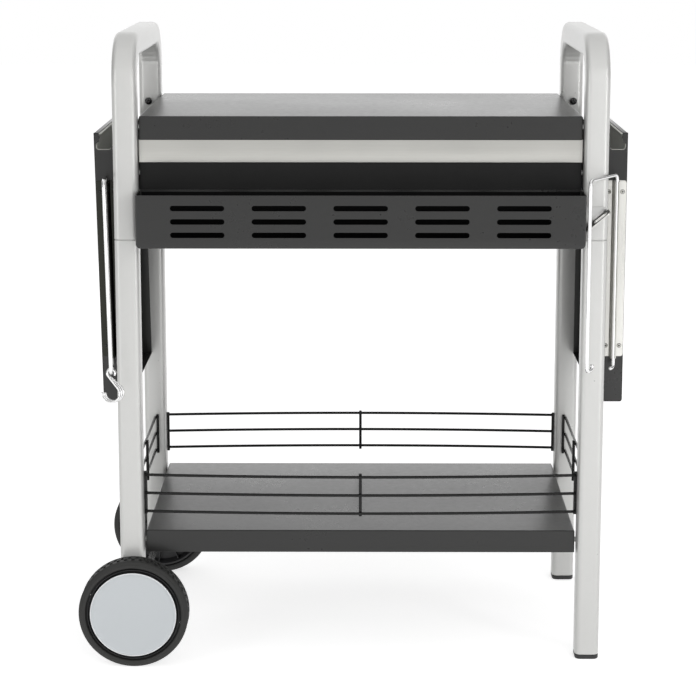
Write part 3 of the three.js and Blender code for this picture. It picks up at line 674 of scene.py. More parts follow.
def add_plate(bm, outlines, thickness, rim, place):
    """Adds a flat plate from closed outlines, the first outside, the rest holes. It lies
    round the place's XY plane with rounded rims."""
    curve = bpy.data.curves.new("outline", "CURVE")
    curve.dimensions = "2D"
    curve.fill_mode = "BOTH"
    curve.extrude = thickness / 2 - rim
    curve.bevel_depth = rim
    curve.bevel_resolution = 2
    curve.offset = -rim
    for outline in outlines:
        spline = curve.splines.new("POLY")
        spline.points.add(len(outline) - 1)
        for point, (u, v) in zip(spline.points, outline):
            point.co = (u, v, 0, 1)
        spline.use_cyclic_u = True
    obj = new_object("outline", curve)
    mesh = evaluated_mesh(obj)
    bpy.data.objects.remove(obj)
    bpy.data.curves.remove(curve)
    mesh.transform(place)
    bm.from_mesh(mesh)
    bpy.data.meshes.remove(mesh)


def axes(x_axis, y_axis, z_axis, origin):
    """The matrix that puts a flat drawing on three axes at an origin."""
    columns = [*zip(x_axis, y_axis, z_axis, origin)]
    return Matrix([*columns, (0, 0, 0, 1)])


def upright_at(x, y, z):
    """The matrix that stands a flat drawing up, seen from the front, at a point."""
    return axes(RIGHT, UP, FRONT, Vector((x, y, z)))


def to_object(name, bm, place=None, merge=0.0):
    """Makes an object of a bmesh, with its faces outwards."""
    if merge:
        bmesh.ops.remove_doubles(bm, verts=bm.verts, dist=merge)
    if place is not None:
        bm.transform(place)
    bmesh.ops.recalc_face_normals(bm, faces=bm.faces)
    mesh = bpy.data.meshes.new(name)
    bm.to_mesh(mesh)
    bm.free()
    return new_object(name, mesh)


def lofted(name, rings, closed=False, place=None):
    """An object from one loft."""
    bm = bmesh.new()
    loft(bm, rings, closed)
    return to_object(name, bm, place)


def turned(name, profile, sides, centre, axis):
    """An object from one profile turned about an axis."""
    bm = bmesh.new()
    lathe(bm, profile, sides, centre, axis)
    return to_object(name, bm)


def bake_modifiers(obj):
    """Turns an object's modifiers into plain mesh."""
    mesh = evaluated_mesh(obj)
    old = obj.data
    obj.modifiers.clear()
    obj.data = mesh
    bpy.data.meshes.remove(old)
    return obj


def add_bevel(obj, width, segments, angle):
    """Adds a bevel on the edges that are sharper than an angle in degrees."""
    modifier = obj.modifiers.new("bevel", "BEVEL")
    modifier.width = width
    modifier.segments = segments
    modifier.limit_method = "ANGLE"
    modifier.angle_limit = math.radians(angle)


def joined(name, objects):
    """One object from several, with their meshes together."""
    bm = bmesh.new()
    for obj in objects:
        bm.from_mesh(obj.data)
        mesh = obj.data
        bpy.data.objects.remove(obj)
        bpy.data.meshes.remove(mesh)
    return to_object(name, bm)


def dress(obj, body, slot, *nodes, finish=None):
    """Gives a finished piece its shading, finish and body, and puts it in place of nodes."""
    obj.data.shade_smooth()
    obj.data.set_sharp_from_angle(angle=SMOOTH_ANGLE)
    obj.data.materials.clear()
    obj.data.materials.append(finish_of(finish or slot))
    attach(obj, body)
    if nodes:
        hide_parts(*nodes)
    return obj


# Geometry node trees for what repeats

def geometry_tree(name, *inputs):
    """A tree that takes a mesh, inputs of its own and a material, and gives a mesh."""
    return new_tree(name, "GeometryNodeTree",
                    [("Geometry", SHAPE, None), *inputs, ("Material", MATERIAL, None)],
                    [("Geometry", SHAPE)])


def end_geometry(t, given, geometry):
    """Ends a geometry tree with plain mesh in the given material."""
    real = t.out("GeometryNodeRealizeInstances", {"Geometry": geometry})
    coated = t.out("GeometryNodeSetMaterial", {"Geometry": real,
                                               "Material": given["Material"]})
    t.add("NodeGroupOutput", {"Geometry": coated})
    return t.tree


def copies(t, count, step, instance, **more):
    """Copies on a line of points, each moved on by one step."""
    points = t.out("GeometryNodeMeshLine", {"Count": count, "Offset": step})
    return t.out("GeometryNodeInstanceOnPoints", {"Points": points, "Instance": instance,
                                                  **more})


def ring_tree():
    """Copies of a mesh round a centre, turned about the Y axis."""
    t, given = geometry_tree("ring_of_copies", ("Count", WHOLE, 12),
                             ("Centre", VECTOR, (0.0, 0.0, 0.0)), ("Start", FLOAT, 0.0))
    index = t.out("GeometryNodeInputIndex")
    step = t.math("DIVIDE", math.tau, given["Count"])
    angle = t.math("MULTIPLY_ADD", index, step, given["Start"])
    turning = t.out("ShaderNodeCombineXYZ", {"Y": angle})
    ring = copies(t, given["Count"], (0.0, 0.0, 0.0), given["Geometry"], Rotation=turning)
    moved = t.out("GeometryNodeTransform", {"Geometry": ring,
                                            "Translation": given["Centre"]})
    return end_geometry(t, given, moved)


def row_tree():
    """Copies of a mesh in a row, each moved on by one step."""
    t, given = geometry_tree("row_of_copies", ("Count", WHOLE, 3),
                             ("Step", VECTOR, (0.0, 0.0, 0.01)))
    row = copies(t, given["Count"], given["Step"], given["Geometry"])
    return end_geometry(t, given, row)


def slots_tree():
    """Cuts rows and columns of round-ended slots through a sheet that stands across Y."""
    t, given = geometry_tree(
        "slot_pattern", ("Columns", WHOLE, 5), ("Rows", WHOLE, 3),
        ("Column pitch", FLOAT, 0.13), ("Row pitch", FLOAT, 0.02), ("Length", FLOAT, 0.08),
        ("Height", FLOAT, 0.009), ("Depth", FLOAT, 0.01),
        ("First slot", VECTOR, (0.0, 0.0, 0.0)))
    outline = t.out("GeometryNodeCurvePrimitiveQuadrilateral", {
        "Width": given["Length"], "Height": given["Height"]})
    almost_half = 0.499
    round_ends = t.out("GeometryNodeFilletCurve", {
        "Curve": outline, "Radius": t.math("MULTIPLY", given["Height"], almost_half),
        "Count": 6}, mode="POLY")
    filled = t.out("GeometryNodeFillCurve", {"Curve": round_ends})
    walls = t.out("GeometryNodeExtrudeMesh", {
        "Mesh": filled, "Offset Scale": given["Depth"], "Individual": False})
    base = t.out("GeometryNodeFlipFaces", {"Mesh": filled})
    closed = t.add("GeometryNodeJoinGeometry")
    t.join(walls, closed.inputs[0])
    t.join(base, closed.inputs[0])
    welded = t.out("GeometryNodeMergeByDistance", {"Geometry": closed.outputs[0],
                                                   "Distance": WELD})
    upright = t.out("GeometryNodeTransform", {"Geometry": welded,
                                              "Rotation": (math.pi / 2, 0.0, 0.0)})
    one_row = copies(t, given["Columns"],
                     t.out("ShaderNodeCombineXYZ", {"X": given["Column pitch"]}), upright)
    all_rows = copies(t, given["Rows"],
                      t.out("ShaderNodeCombineXYZ", {"Z": given["Row pitch"]}), one_row)
    placed = t.out("GeometryNodeTransform", {"Geometry": all_rows,
                                             "Translation": given["First slot"]})
    cutters = t.out("GeometryNodeRealizeInstances", {"Geometry": placed})
    cut = t.out("GeometryNodeMeshBoolean", {"Mesh 1": given["Geometry"], "Mesh 2": cutters},
                operation="DIFFERENCE", solver="EXACT")
    return end_geometry(t, given, cut)


TREE_MAKERS = {"ring_of_copies": ring_tree, "row_of_copies": row_tree,
               "slot_pattern": slots_tree}


def run_tree(obj, tree_name, finish, **values):
    """Runs a geometry node tree on an object and keeps the result as plain mesh."""
    tree = bpy.data.node_groups.get(tree_name) or TREE_MAKERS[tree_name]()
    modifier = obj.modifiers.new(tree_name, "NODES")
    modifier.node_group = tree
    given = {key.replace("_", " "): value for key, value in values.items()}
    given["Material"] = finish_of(finish)
    for item in tree.interface.items_tree:
        if item.item_type == "SOCKET" and item.in_out == "INPUT" and item.name in given:
            modifier[item.identifier] = given[item.name]
    return bake_modifiers(obj)


# Tube frame

def dented_section(tube, share):
    """The tube's section at a share of a bend's length. The inner wall sinks in and ripples."""
    half = TUBE / 2
    section = rounded_box(-half, half, -half, half, tube.corner, 6)
    if not 0 < share < 1:
        return section
    depth = tube.dent * math.sin(math.pi * share) ** 0.7
    depth += tube.ripple * math.sin(math.tau * tube.ripples * share)
    inner_wall, dent_width = half * 0.6, half * 0.82
    shaped = []
    for u, v in section:
        if v > inner_wall:
            v -= depth * max(0.0, 1 - (u / dent_width) ** 2) * (v / half)
        shaped.append((u, v))
    return shaped


def handle_frame(name, node):
    """One bent tube from the front seam over the handle to the rear seam."""
    tube = settings().tube
    low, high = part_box(node)
    x = (low.x + high.x) / 2
    half = TUBE / 2
    front, rear = low.y + half, high.y - half
    top = high.z - half
    steps = 42
    end_step = 1 * MM
    points = [Vector((x, front, low.z)), Vector((x, front, low.z + end_step))]
    shares = [0, 0]
    for centre_y, start in ((front + tube.bend, 180), (rear - tube.bend, 90)):
        bend = arc(centre_y, top - tube.bend, tube.bend, start, start - 90, steps)
        points += [Vector((x, y, z)) for y, z in bend]
        shares += [i / steps for i in range(steps + 1)]
    points += [Vector((x, rear, low.z + end_step)), Vector((x, rear, low.z))]
    shares += [0, 0]
    rings = sweep_rings(points, RIGHT, lambda i: dented_section(tube, shares[i]))

    # Both ends are eased, so that the seams on the lower legs show
    edge = 0.8 * MM
    for ring, middle in ((rings[0], points[0]), (rings[-1], points[-1])):
        for i, point in enumerate(ring):
            flat = Vector((point.x - middle.x, point.y - middle.y, 0))
            ring[i] = point - flat * (edge / half)
    dress(lofted(name, rings), "cart", "silver_paint", node)


def lower_leg(name, node):
    """A straight lower leg with eased ends."""
    low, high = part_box(node)
    ease = 0.9 * MM
    places = [(ease, low.z), (0, low.z + ease), (0, high.z - ease), (ease, high.z)]
    rings = level_rings((low, high), settings().tube.corner, 6, places)
    dress(lofted(name, rings), "cart", "silver_paint", node)


def leg_end(name, node):
    """A moulded foot or end cap: a plate under the tube and a ribbed plug inside it."""
    tube = settings().tube
    low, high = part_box(node)
    plug = tube.wall + 0.3 * MM
    top = low.z + 7.5 * MM
    places = offset_points(0, low.z, [(2.4, 0), (1.2, 0.25), (0.35, 1.1), (0, 2.2)])
    places += offset_points(0, top, [(0, -0.5), (0.5, 0)]) + [(plug, top)]
    ribs = 3
    for i in range(ribs):
        start = top + (high.z - top) * (i + 0.3) / ribs
        end = top + (high.z - top) * (i + 0.7) / ribs
        places += offset_points(plug, start, [(1, 0), (0, 0.4)])
        places += offset_points(plug, end, [(0, 0), (1, 0.4)])
    places += [(plug + 1 * MM, high.z)]
    rings = level_rings((low, high), tube.corner, 6, places)
    dress(lofted(name, rings), "cart", "black_plastic", node)


# Sheet metal

def fold_places(fold, z, radius, start, end, steps):
    """The (inset, height) places round a fold whose centre is at the height z."""
    return [(fold - u, z + v) for u, v in arc(0, 0, radius, start, end, steps)]


def folded_pan(name, node):
    """A sheet panel with folded edges all round, open below."""
    sheet = settings().sheet
    low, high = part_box(node)
    wall, fold, rim = sheet.thickness, sheet.fold, sheet.rim
    places = fold_places(fold, high.z - fold, fold, 90, 0, 5)
    places += [(0, low.z + rim), (rim, low.z), (wall - rim, low.z), (wall, low.z + rim)]
    places += fold_places(fold, high.z - fold, fold - wall, 0, 90, 4)
    rings = level_rings((low, high), sheet.corner, 4, places)
    dress(lofted(name, rings), "cart", "dark_paint", node)


def casing():
    """Four walls under the top panel with flanges turned in above and below. Their paint is
    darker than the other sheets: partly a darker paint, partly painted shade under the top
    panel's overhang and behind the tray.
    """
    sheet = settings().sheet
    low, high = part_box("casing")
    wall, fold, flange = sheet.thickness, sheet.fold, sheet.flange
    top, foot = high.z - fold, low.z + fold
    places = [(flange, high.z)] + fold_places(fold, top, fold, 90, 0, 4)
    places += fold_places(fold, foot, fold, 0, -90, 4)
    places += [(flange, low.z), (flange, low.z + wall)]
    places += fold_places(fold, foot, fold - wall, -90, 0, 3)
    places += fold_places(fold, top, fold - wall, 0, 90, 3) + [(flange, high.z - wall)]
    rings = level_rings((low, high), sheet.corner, 4, places)
    dress(lofted("casing_sheet", rings, closed=True), "cart", "dark_paint", "casing",
          finish="casing_paint")


def front_strip():
    """The brushed strip across the casing, folded back round its ends."""
    sheet = settings().sheet
    low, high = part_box("steel_front_strip")
    half = sheet.thickness / 2
    z = (low.z + high.z) / 2
    left, right, front = low.x + half, high.x - half, low.y + half
    bend = 1.2 * MM
    path = rounded_path([Vector((x, y, z)) for x, y in (
        (left, high.y), (left, front), (right, front), (right, high.y))], [bend, bend], 5)
    tall = (high.z - low.z) / 2
    section = rounded_box(-tall, tall, -half, half, sheet.rim, 2)
    dress(lofted("front_strip", sweep_rings(path, UP, section)), "cart", "brushed_steel",
          "steel_front_strip")


def tray():
    """The front tray: one folded sheet with round lower corners and rows of slots."""
    sheet, shape = settings().sheet, settings().tray
    low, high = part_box("front_tray")
    corner = shape.corner
    outline = ([(low.x, high.z)]
               + arc(low.x + corner, low.z + corner, corner, 180, 270, 7)
               + arc(high.x - corner, low.z + corner, corner, 270, 360, 7)
               + [(high.x, high.z)])
    bm = bmesh.new()
    front = [bm.verts.new((x, low.y, z)) for x, z in outline]
    back = [bm.verts.new((x, high.y, z)) for x, z in outline]
    for i in range(len(outline) - 1):
        bm.faces.new((front[i], front[i + 1], back[i + 1], back[i]))
    bm.faces.new(front[::-1])
    bm.faces.new(back)
    shell = to_object("tray_sheet", bm)
    lowest = min(shell.data.polygons, key=lambda face: face.center.z)
    if lowest.normal.z > 0:
        shell.data.flip_normals()
    add_bevel(shell, sheet.fold, 4, 50)
    walls = shell.modifiers.new("walls", "SOLIDIFY")
    walls.thickness = sheet.thickness
    walls.offset = -1
    walls.use_even_offset = True
    bake_modifiers(shell)
    first_x = (low.x + high.x) / 2 - shape.pitch_x * (shape.columns - 1) / 2
    reach = 6 * MM
    run_tree(shell, "slot_pattern", "dark_paint", Columns=shape.columns, Rows=shape.rows,
             Column_pitch=shape.pitch_x, Row_pitch=shape.pitch_z, Length=shape.slot_length,
             Height=shape.slot_height, Depth=2 * reach,
             First_slot=(first_x, low.y + reach, low.z + shape.lowest))
    add_bevel(shell, sheet.rim, 1, 60)
    dress(bake_modifiers(shell), "cart", "dark_paint", "front_tray")


def tray_back():
    """Painted shade: a black sheet just before the tray's back wall, seen through the slots,
    that stands in for the shade inside the tray.
    """
    sheet = settings().sheet
    low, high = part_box("front_tray")
    gap = sheet.thickness + sheet.fold
    half, apart = 0.4 * MM, 0.05 * MM
    y = high.y - sheet.thickness - half - apart
    section = rounded_box(low.z + gap, high.z - gap, -half, half, 0.2 * MM, 2)
    rings = [[Vector((x, y + v, z)) for z, v in section]
             for x in (low.x + gap, high.x - gap)]
    dress(lofted("tray_back", rings), "cart", "dark_paint", finish="matt_black")


# Guard rails

def guard_rail(node, out):
    """Wires welded on the outer side of square posts. out is the way the rail faces."""
    guard = settings().guard
    low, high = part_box(node)
    across = UP.cross(out)
    radius = guard.wire / 2
    centre = (low + high) / 2
    reach = abs((high - low).dot(across)) / 2 - radius
    depth = abs((high - low).dot(out)) / 2
    post_at = centre - out * depth + out * radius
    wire_at = post_at + out * (2 * radius - guard.overlap)
    bow = 2 * depth - (4 * radius - guard.overlap)
    lowest = centre.z - guard.pitch * (guard.wires - 1) / 2
    steps = 40 if bow > 1 * MM else 1
    points = []
    for i in range(steps + 1):
        share = 2 * i / steps - 1
        point = wire_at + across * reach * share + out * bow * (1 - share ** 2)
        points.append(Vector((point.x, point.y, lowest)))
    run = run_tree(wire("guard_run", points, radius, UP, 12), "row_of_copies", "black_wire",
                   Count=guard.wires, Step=(0.0, 0.0, guard.pitch))
    bm = bmesh.new()
    section = rounded_box(-radius, radius, -radius, radius, 0.9 * MM, 3)
    ease = 0.6 * MM
    small = 1 - ease / radius
    for place in (post_at - across * reach, post_at + across * reach, post_at + out * bow):
        loft(bm, [[Vector((place.x + u * scale, place.y + v * scale, z)) for u, v in section]
                  for scale, z in ((small, low.z), (1, low.z + ease), (1, high.z - ease),
                                   (small, high.z))])
    posts = to_object("guard_posts", bm)
    dress(joined(node + "_wires", [run, posts]), "cart", "black_wire", node)


# Wheels

def tyre(end, outward):
    """A tyre with a fine tread. outward is the way its wheel's cap faces."""
    shape, node = settings().wheel, end + "_tyre"
    centre = middle_of(node)
    radius, half = half_size(node)
    base = radius - shape.tread
    seat = shape.seat

    # The section from the bead over the bulged side wall and a shoulder rib to the tread
    rib_in, rib_out = 12.6 * MM, 14.4 * MM
    side = offset_points(seat, half, [
        (0, -7), (0.9, -7), (1.1, -2.2), (1.6, -0.9), (2.6, -0.2), (4, 0), (6, -0.2),
        (7.2, -0.8), (7.9, -1.6), (8.5, -1.7)])
    side += offset_points(radius, half, [(-3.2, -2.6), (-1.3, -3.8)])
    side += offset_points(radius, rib_out, [(-0.3, 0), (0, -0.8)])
    side += offset_points(radius, rib_in, [(0, 0.3), (-0.3, 0)])
    side += [(base, rib_in - 0.5 * MM)]
    profile = side + [(r, -along) for r, along in side[::-1]]
    carcass = turned("tyre_carcass", profile, shape.tyre_sides, centre, outward)

    # One pair of tread blocks, repeated round the wheel. A block's corners are shares of
    # the pitch round the tyre and millimetres along the axle.
    block = [(0.04, 0.9), (0.66, 0.9), (0.52, 6.2), (0.78, 11.3), (0.16, 11.3), (-0.10, 6.2)]
    middle_share, middle_along = 0.34, 6.1
    heights = ((base - 0.6 * MM, 1), (radius - 0.7 * MM, 1), (radius - 0.15 * MM, 0.9))
    bm = bmesh.new()
    for way in (-1, 1):
        moved_on = 0.5 if way > 0 else 0
        rings = []
        for reach, shrink in heights:
            ring = []
            for share, along in block:
                share = middle_share + (share - middle_share) * shrink + moved_on
                along = middle_along + (along - middle_along) * shrink
                angle = share * (math.tau / shape.blocks)
                ring.append(Vector((reach * math.sin(angle), way * along * MM,
                                    reach * math.cos(angle))))
            rings.append(ring)
        loft(bm, rings)
    tread = run_tree(to_object("tread_block", bm), "ring_of_copies", "tyre_rubber",
                     Count=shape.blocks, Centre=tuple(centre), Start=0.03)
    dress(joined(node + "_tread", [carcass, tread]), end + "_wheel", "tyre_rubber", node)


def rim(end, outward):
    """A rim: lip, step and web, with ribs and a hub on its inner side."""
    shape, node = settings().wheel, end + "_rim"
    centre = middle_of(end + "_tyre")
    edge = half_size(node)[0]
    reach_in = reach_of(node, -outward, centre)
    reach_out = half_size(end + "_tyre")[1] - 2.5 * MM
    web, hub, hub_out, bore = 2 * MM, 16 * MM, 10 * MM, 6.4 * MM
    profile = [(bore, -reach_in)]
    profile += offset_points(hub, -reach_in, [(-1, 0), (0, 1)]) + [(hub, -web)]
    profile += offset_points(edge, -web, [(-9, 0), (-7, -2)])
    profile += offset_points(edge, -reach_out, [(-4.5, 1), (-3.5, 0), (-0.5, 0), (0, 0.5)])
    profile += offset_points(edge, reach_out, [
        (0, -6), (-1, -6), (-1.3, -0.6), (-1.7, 0), (-2.3, 0), (-2.8, -0.8), (-3.1, -7),
        (-4.4, -7)])
    profile += [(edge - 7 * MM, web), (hub, web), (hub, hub_out), (bore, hub_out)]
    body = turned("rim_body", profile, shape.rim_sides, centre, outward)

    # One rib, repeated round the hub
    rib_half, rib_top = 1.1 * MM, 1.1 * MM * 0.7
    foot = web - 0.6 * MM
    ends = ((hub - 1 * MM, reach_in - 3 * MM), (edge - 5 * MM, reach_out - 4 * MM))
    rib = lofted("rim_rib", [[
        Vector((x, -outward.y * y, r)) for x, y in (
            (-rib_half, foot), (rib_half, foot), (rib_top, tall), (-rib_top, tall))]
        for r, tall in ends])
    ribs = run_tree(rib, "ring_of_copies", "black_plastic", Count=shape.ribs,
                    Centre=tuple(centre), Start=0.1)
    dress(joined(node + "_ribbed", [body, ribs]), end + "_wheel", "black_plastic", node)


def cap(end, outward):
    """A cap disc: a dished face with a rolled edge, its snap skirt and a bead whose bright
    colour is a painted highlight.
    """
    shape, node = settings().wheel, end + "_wheel_cap"
    centre = middle_of(end + "_tyre")
    face, back = reach_of(node, outward, centre), reach_of(node, -outward, centre)
    inside = face - 2.5 * MM
    outer = min(shape.disc, half_size(node)[0])
    disc = outer - 1.3 * MM
    roll = 1.1 * MM
    profile = [(0, face - 1.0 * MM), (disc * 0.5, face - 1.05 * MM)]
    profile += offset_points(disc, face, [(-6, -1.25), (-3.2, -1.0)])
    profile += arc(disc - roll, face - roll, roll, 130, -20, 6)
    profile += offset_points(disc, inside, [(-1.2, 0), (-6, 0)])
    profile += offset_points(disc, back, [(-6, 0), (-9, 0)])
    profile += [(disc - 9 * MM, inside), (0, inside)]
    dress(turned(end + "_cap_disc", profile, shape.cap_sides, centre, outward),
          end + "_wheel", "wheel_disc", node)
    # The bead's bright colour is a painted highlight on the rolled edge
    thin = 0.85 * MM
    bead = [(outer - thin + u, face - 0.9 * MM + v) for u, v in circle(thin, 12)]
    dress(turned(end + "_cap_bead", bead, shape.cap_sides, centre, outward),
          end + "_wheel", "wheel_disc", finish="cap_bead")


# Side tables. Their outlines are drawn for the right table from its pivot, outwards and
# upwards, and mirrored for the left one. side is -1 for the left and 1 for the right.

def side_name(side):
    return "right" if side > 0 else "left"


def table_place(side):
    """The matrix of one table: its pivot line, and its lean."""
    anchor = ANCHORS[side_name(side) + "_table_lift"]
    lean = 0 if side > 0 else -settings().table.lean_left
    origin = Vector((anchor.x, MIDDLE.y, anchor.z))
    return Matrix.Translation(origin) @ Matrix.Rotation(lean, 4, "Y")


def table_object(name, bm, side):
    """A table's piece from its drawing for the right table."""
    return to_object(name, bm, table_place(side) @ Matrix.Scale(side, 4, RIGHT), WELD)


def notch_outline(table):
    """The notch for the stop bolt, from its mouth at the top to its foot."""
    neck = table.reach_out - table.lip
    floor, pocket, foot = -3.3 * MM, 47.5 * MM, 27 * MM
    points = [(neck, table.rise)]
    points += offset_points(neck, 0, [(0, 19), (-1, 17.4), (-1, 16), (-1, 14.6), (0, 13),
                                      (0, 10)])
    points += arc(pocket - 3.4 * MM, 5 * MM, 3.4 * MM, 70, 0, 4)
    points += arc(pocket - 4 * MM, floor + 4 * MM, 4 * MM, 0, -90, 6)
    return points + [(foot, floor)] + arc(foot, floor + 3 * MM, 3 * MM, 270, 200, 4)


def flange_outline(table):
    """The side flange: the long outer edge, the notch, the pivot lug and the inner edge."""
    out, drop, lug = table.reach_out, table.drop, table.lug
    corner = 4 * MM
    points = [(table.reach_in, -drop)]
    points += arc(out - corner, corner - drop, corner, 270, 360, 5)
    points += [(out, table.rise)] + notch_outline(table)
    points += arc(0, 0, lug, 8, 12, 1) + arc(0, 0, lug, 12, 225, 24)[1:]
    return points + [(table.reach_in, -40 * MM)]


def stiffener(bm, half, start, height):
    """A shallow hat section across the hollow side of a table, lofted from end to end."""
    hat = [(-11, 0), (-9.4, 0), (-5.4, -6), (5.4, -6), (9.4, 0), (11, 0),
           (11, -0.9), (9.9, -0.9), (5.9, -6.9), (-5.9, -6.9), (-9.9, -0.9), (-11, -0.9)]
    loft(bm, [[Vector((start + v * MM, y, height + u * MM)) for u, v in hat]
              for y in (-half, half)])


def table(side):
    """One fold-down table: a folded sheet with a top and bottom flange and notched sides."""
    shape, sheet = settings().table, settings().sheet
    name = side_name(side)
    half = half_size(name + "_table")[1]
    wall, mid = sheet.thickness, sheet.thickness / 2
    face, top, foot = shape.reach_out - mid, shape.rise - mid, mid - shape.drop

    # The sheet's section from the top flange over the outer face to the bottom flange
    path = drawn_path([(shape.reach_out - shape.lip, top), (face, top), (face, foot),
                       (shape.reach_in, foot)],
                      [sheet.fold - mid, sheet.fold + 1.8 * MM - mid], 6)
    bm = bmesh.new()
    section = rounded_box(-half, half, -mid, mid, sheet.rim, 2)
    loft(bm, sweep_rings(path, REAR, section))
    pin_hole = circle(4.35 * MM, 24)
    outlines = [flange_outline(shape), pin_hole]
    for end in (-1, 1):
        add_plate(bm, outlines, wall, sheet.rim, upright_at(0, end * (half - mid), 0))
    height = shape.stiffener - ANCHORS[name + "_table_lift"].z
    stiffener(bm, half - wall - 0.4 * MM, shape.reach_out - wall - 0.05 * MM, height)
    dress(table_object(name + "_table_sheet", bm, side), name + "_table", "dark_paint",
          name + "_table")


def table_liner(side):
    """A pale channel inside the table's top edge. Its near-white colour is partly the inner
    face's own pale colour, partly painted light for the light on that face.
    """
    shape, sheet = settings().table, settings().sheet
    name = side_name(side)
    half = half_size(name + "_table")[1] - sheet.thickness - 0.3 * MM
    thick = 0.8 * MM
    inside = sheet.thickness + 0.2 * MM + thick / 2
    face, top = shape.reach_out - inside, shape.rise - inside
    lip = shape.reach_out - shape.lip
    corners = offset_points(lip, top, [(-2.2, -1.2), (-0.6, 0)]) + [(face, top)]
    corners += offset_points(face, 0, [(0, -27), (-1.6, -28.6)])
    path = drawn_path(corners, [0.6 * MM, 1.6 * MM, 1.2 * MM], 5)
    bm = bmesh.new()
    section = rounded_box(-half, half, -thick / 2, thick / 2, 0.2 * MM, 2)
    loft(bm, sweep_rings(path, REAR, section))
    # The liner's near-white colour is partly painted light
    dress(table_object(name + "_table_liner", bm, side), name + "_table", "zinc_steel",
          finish="liner_paint")


def notch_highlight_edges(side):
    """A pale edge round the foot of each of a table's notches, where the edge faces up: a
    painted highlight.
    """
    name = side_name(side)
    foot_height, width = 6 * MM, 1.1 * MM
    line = [Vector(point) for point in notch_outline(settings().table)
            if point[1] < foot_height]
    edge = []
    for i, point in enumerate(line):
        along = (line[min(i + 1, len(line) - 1)] - line[max(i - 1, 0)]).normalized()
        edge.append(point + Vector((-along.y, along.x)) * width)
    outline = [tuple(point) for point in line + edge[::-1]]
    outer = half_size(name + "_table")[1] - 0.1 * MM
    bm = bmesh.new()
    for end in (-1, 1):
        add_plate(bm, [outline], 0.4 * MM, 0.1 * MM, upright_at(0, end * outer, 0))
    dress(table_object(name + "_notch_edges", bm, side), name + "_table", "zinc_steel",
          finish="notch_zinc")


# Rail plates, swing rails and hooks

def rail_place(side):
    """Where one rail's upright crosses the height of its table's pivot, with the lean."""
    rail = settings().rail
    forward = -half_size(side_name(side) + "_table")[1] - 0.3 * MM - rail.forward
    return table_place(side) @ Matrix.Translation((side * rail.out, forward, 0))


def screw_head(bm, centre, radius, height):
    """A low round head with a socket, facing the front."""
    profile = [(0, height * 0.35), (radius * 0.44, height * 0.3), (radius * 0.5, height),
               (radius * 0.7, height * 0.9), (radius * 0.92, height * 0.5),
               (radius, 0.0), (radius * 0.9, -0.3 * MM), (0, -0.3 * MM)]
    lathe(bm, profile, 20, centre, FRONT)


def screw_shade(bm, centre, radius, height):
    """Painted shade: a dark bottom in a screw's socket and a thin dark ring under its head,
    where the shadow gap is.
    """
    lathe(bm, [(0, height * 0.7), (radius * 0.45, height * 0.7),
               (radius * 0.42, height * 0.3), (0, height * 0.3)], 6, centre, FRONT)
    lathe(bm, [(radius * 0.8, 0.2 * MM), (radius * 1.16, 0.15 * MM),
               (radius * 1.2, -0.1 * MM), (radius * 0.8, -0.1 * MM)], 20, centre, FRONT)


def wire_channel(bm, rail, face, top, foot):
    """Two walls that rise from the plate's face and curl round the rail's upright."""
    clearance = 0.35 * MM
    bore = rail.wire / 2 + clearance
    outer = bore + rail.channel_wall
    curl = [math.radians(angle) for angle in (14, 28, 42, 55)]
    for way in (-1, 1):
        section = [(way * bore, face), (way * bore, 0)]
        section += [(way * bore * math.cos(a), -bore * math.sin(a)) for a in curl]
        section += [(way * outer * math.cos(a), -outer * math.sin(a)) for a in curl[::-1]]
        section += [(way * outer, 0), (way * outer, face - 1.4 * MM),
                    (way * (outer + 0.5 * MM), face - 0.5 * MM),
                    (way * (outer + 1.6 * MM), face)]
        loft(bm, [[Vector((u, v, z)) for u, v in section] for z in (top, foot)])


def rail_plate(side):
    """A steel plate with a channel down its middle, screwed to the table's front flange."""
    rail, name = settings().rail, side_name(side)
    half = rail.plate_width / 2
    top, foot = -rail.plate_drop, -rail.plate_drop - rail.plate_length
    back, thick = rail.forward, rail.plate_thickness
    bm = bmesh.new()
    outline = rounded_box(-half, half, foot, top, 4 * MM, 6)
    add_plate(bm, [outline], thick, settings().sheet.rim,
              upright_at(0, back - thick / 2, 0))
    wire_channel(bm, rail, back - thick + 0.2 * MM, top, foot)
    shades = bmesh.new()
    for z in (top - 18.8 * MM, foot + 18.4 * MM):
        for x in (-half + 6.4 * MM, half - 6.4 * MM):
            place = Vector((x, back - thick, z)), 3.2 * MM, 1.5 * MM
            screw_head(bm, *place)
            screw_shade(shades, *place)
    dress(to_object(name + "_screw_shades", shades, rail_place(side)), name + "_table",
          "black_bolt")
    # The left plate's dark colour is a painted reflection of dark surroundings on the same steel
    # as the right plate
    dress(to_object(name + "_plate_channel", bm, rail_place(side), WELD), name + "_table",
          "brushed_steel", name + "_rail_plate",
          finish="plate_steel" if side > 0 else "smoked_steel")


def swing_matrix(side):
    """The place of one rail's wire, turned about its upright as it is at rest."""
    rail = settings().rail
    swing = rail.swing_right if side > 0 else rail.swing_left
    return rail_place(side) @ Matrix.Rotation(-math.pi / 2 - side * swing, 4, "Z")


def swing_rail(side):
    """A bent wire: hooked foot, upright, top bar, free leg and the hook at its end."""
    rail, name = settings().rail, side_name(side)
    top, curl = -rail.top_drop, rail.curl
    foot, free = top - rail.pivot_length, top - rail.free_length
    hook_in = rail.width - 2 * curl - 7 * MM
    tight = curl - 0.01 * MM
    corners = [(curl + 5 * MM, foot), (0, foot), (0, top), (rail.width, top),
               (rail.width, free), (hook_in, free), (hook_in, free + curl + 2 * MM)]
    path = drawn_path(corners, [tight, rail.bend, rail.bend, curl, tight], 10)
    dress(wire(name + "_rail_wire", path, rail.wire / 2, REAR, 20, swing_matrix(side)),
          name + "_rail", "chrome_wire", name + "_swing_rail")


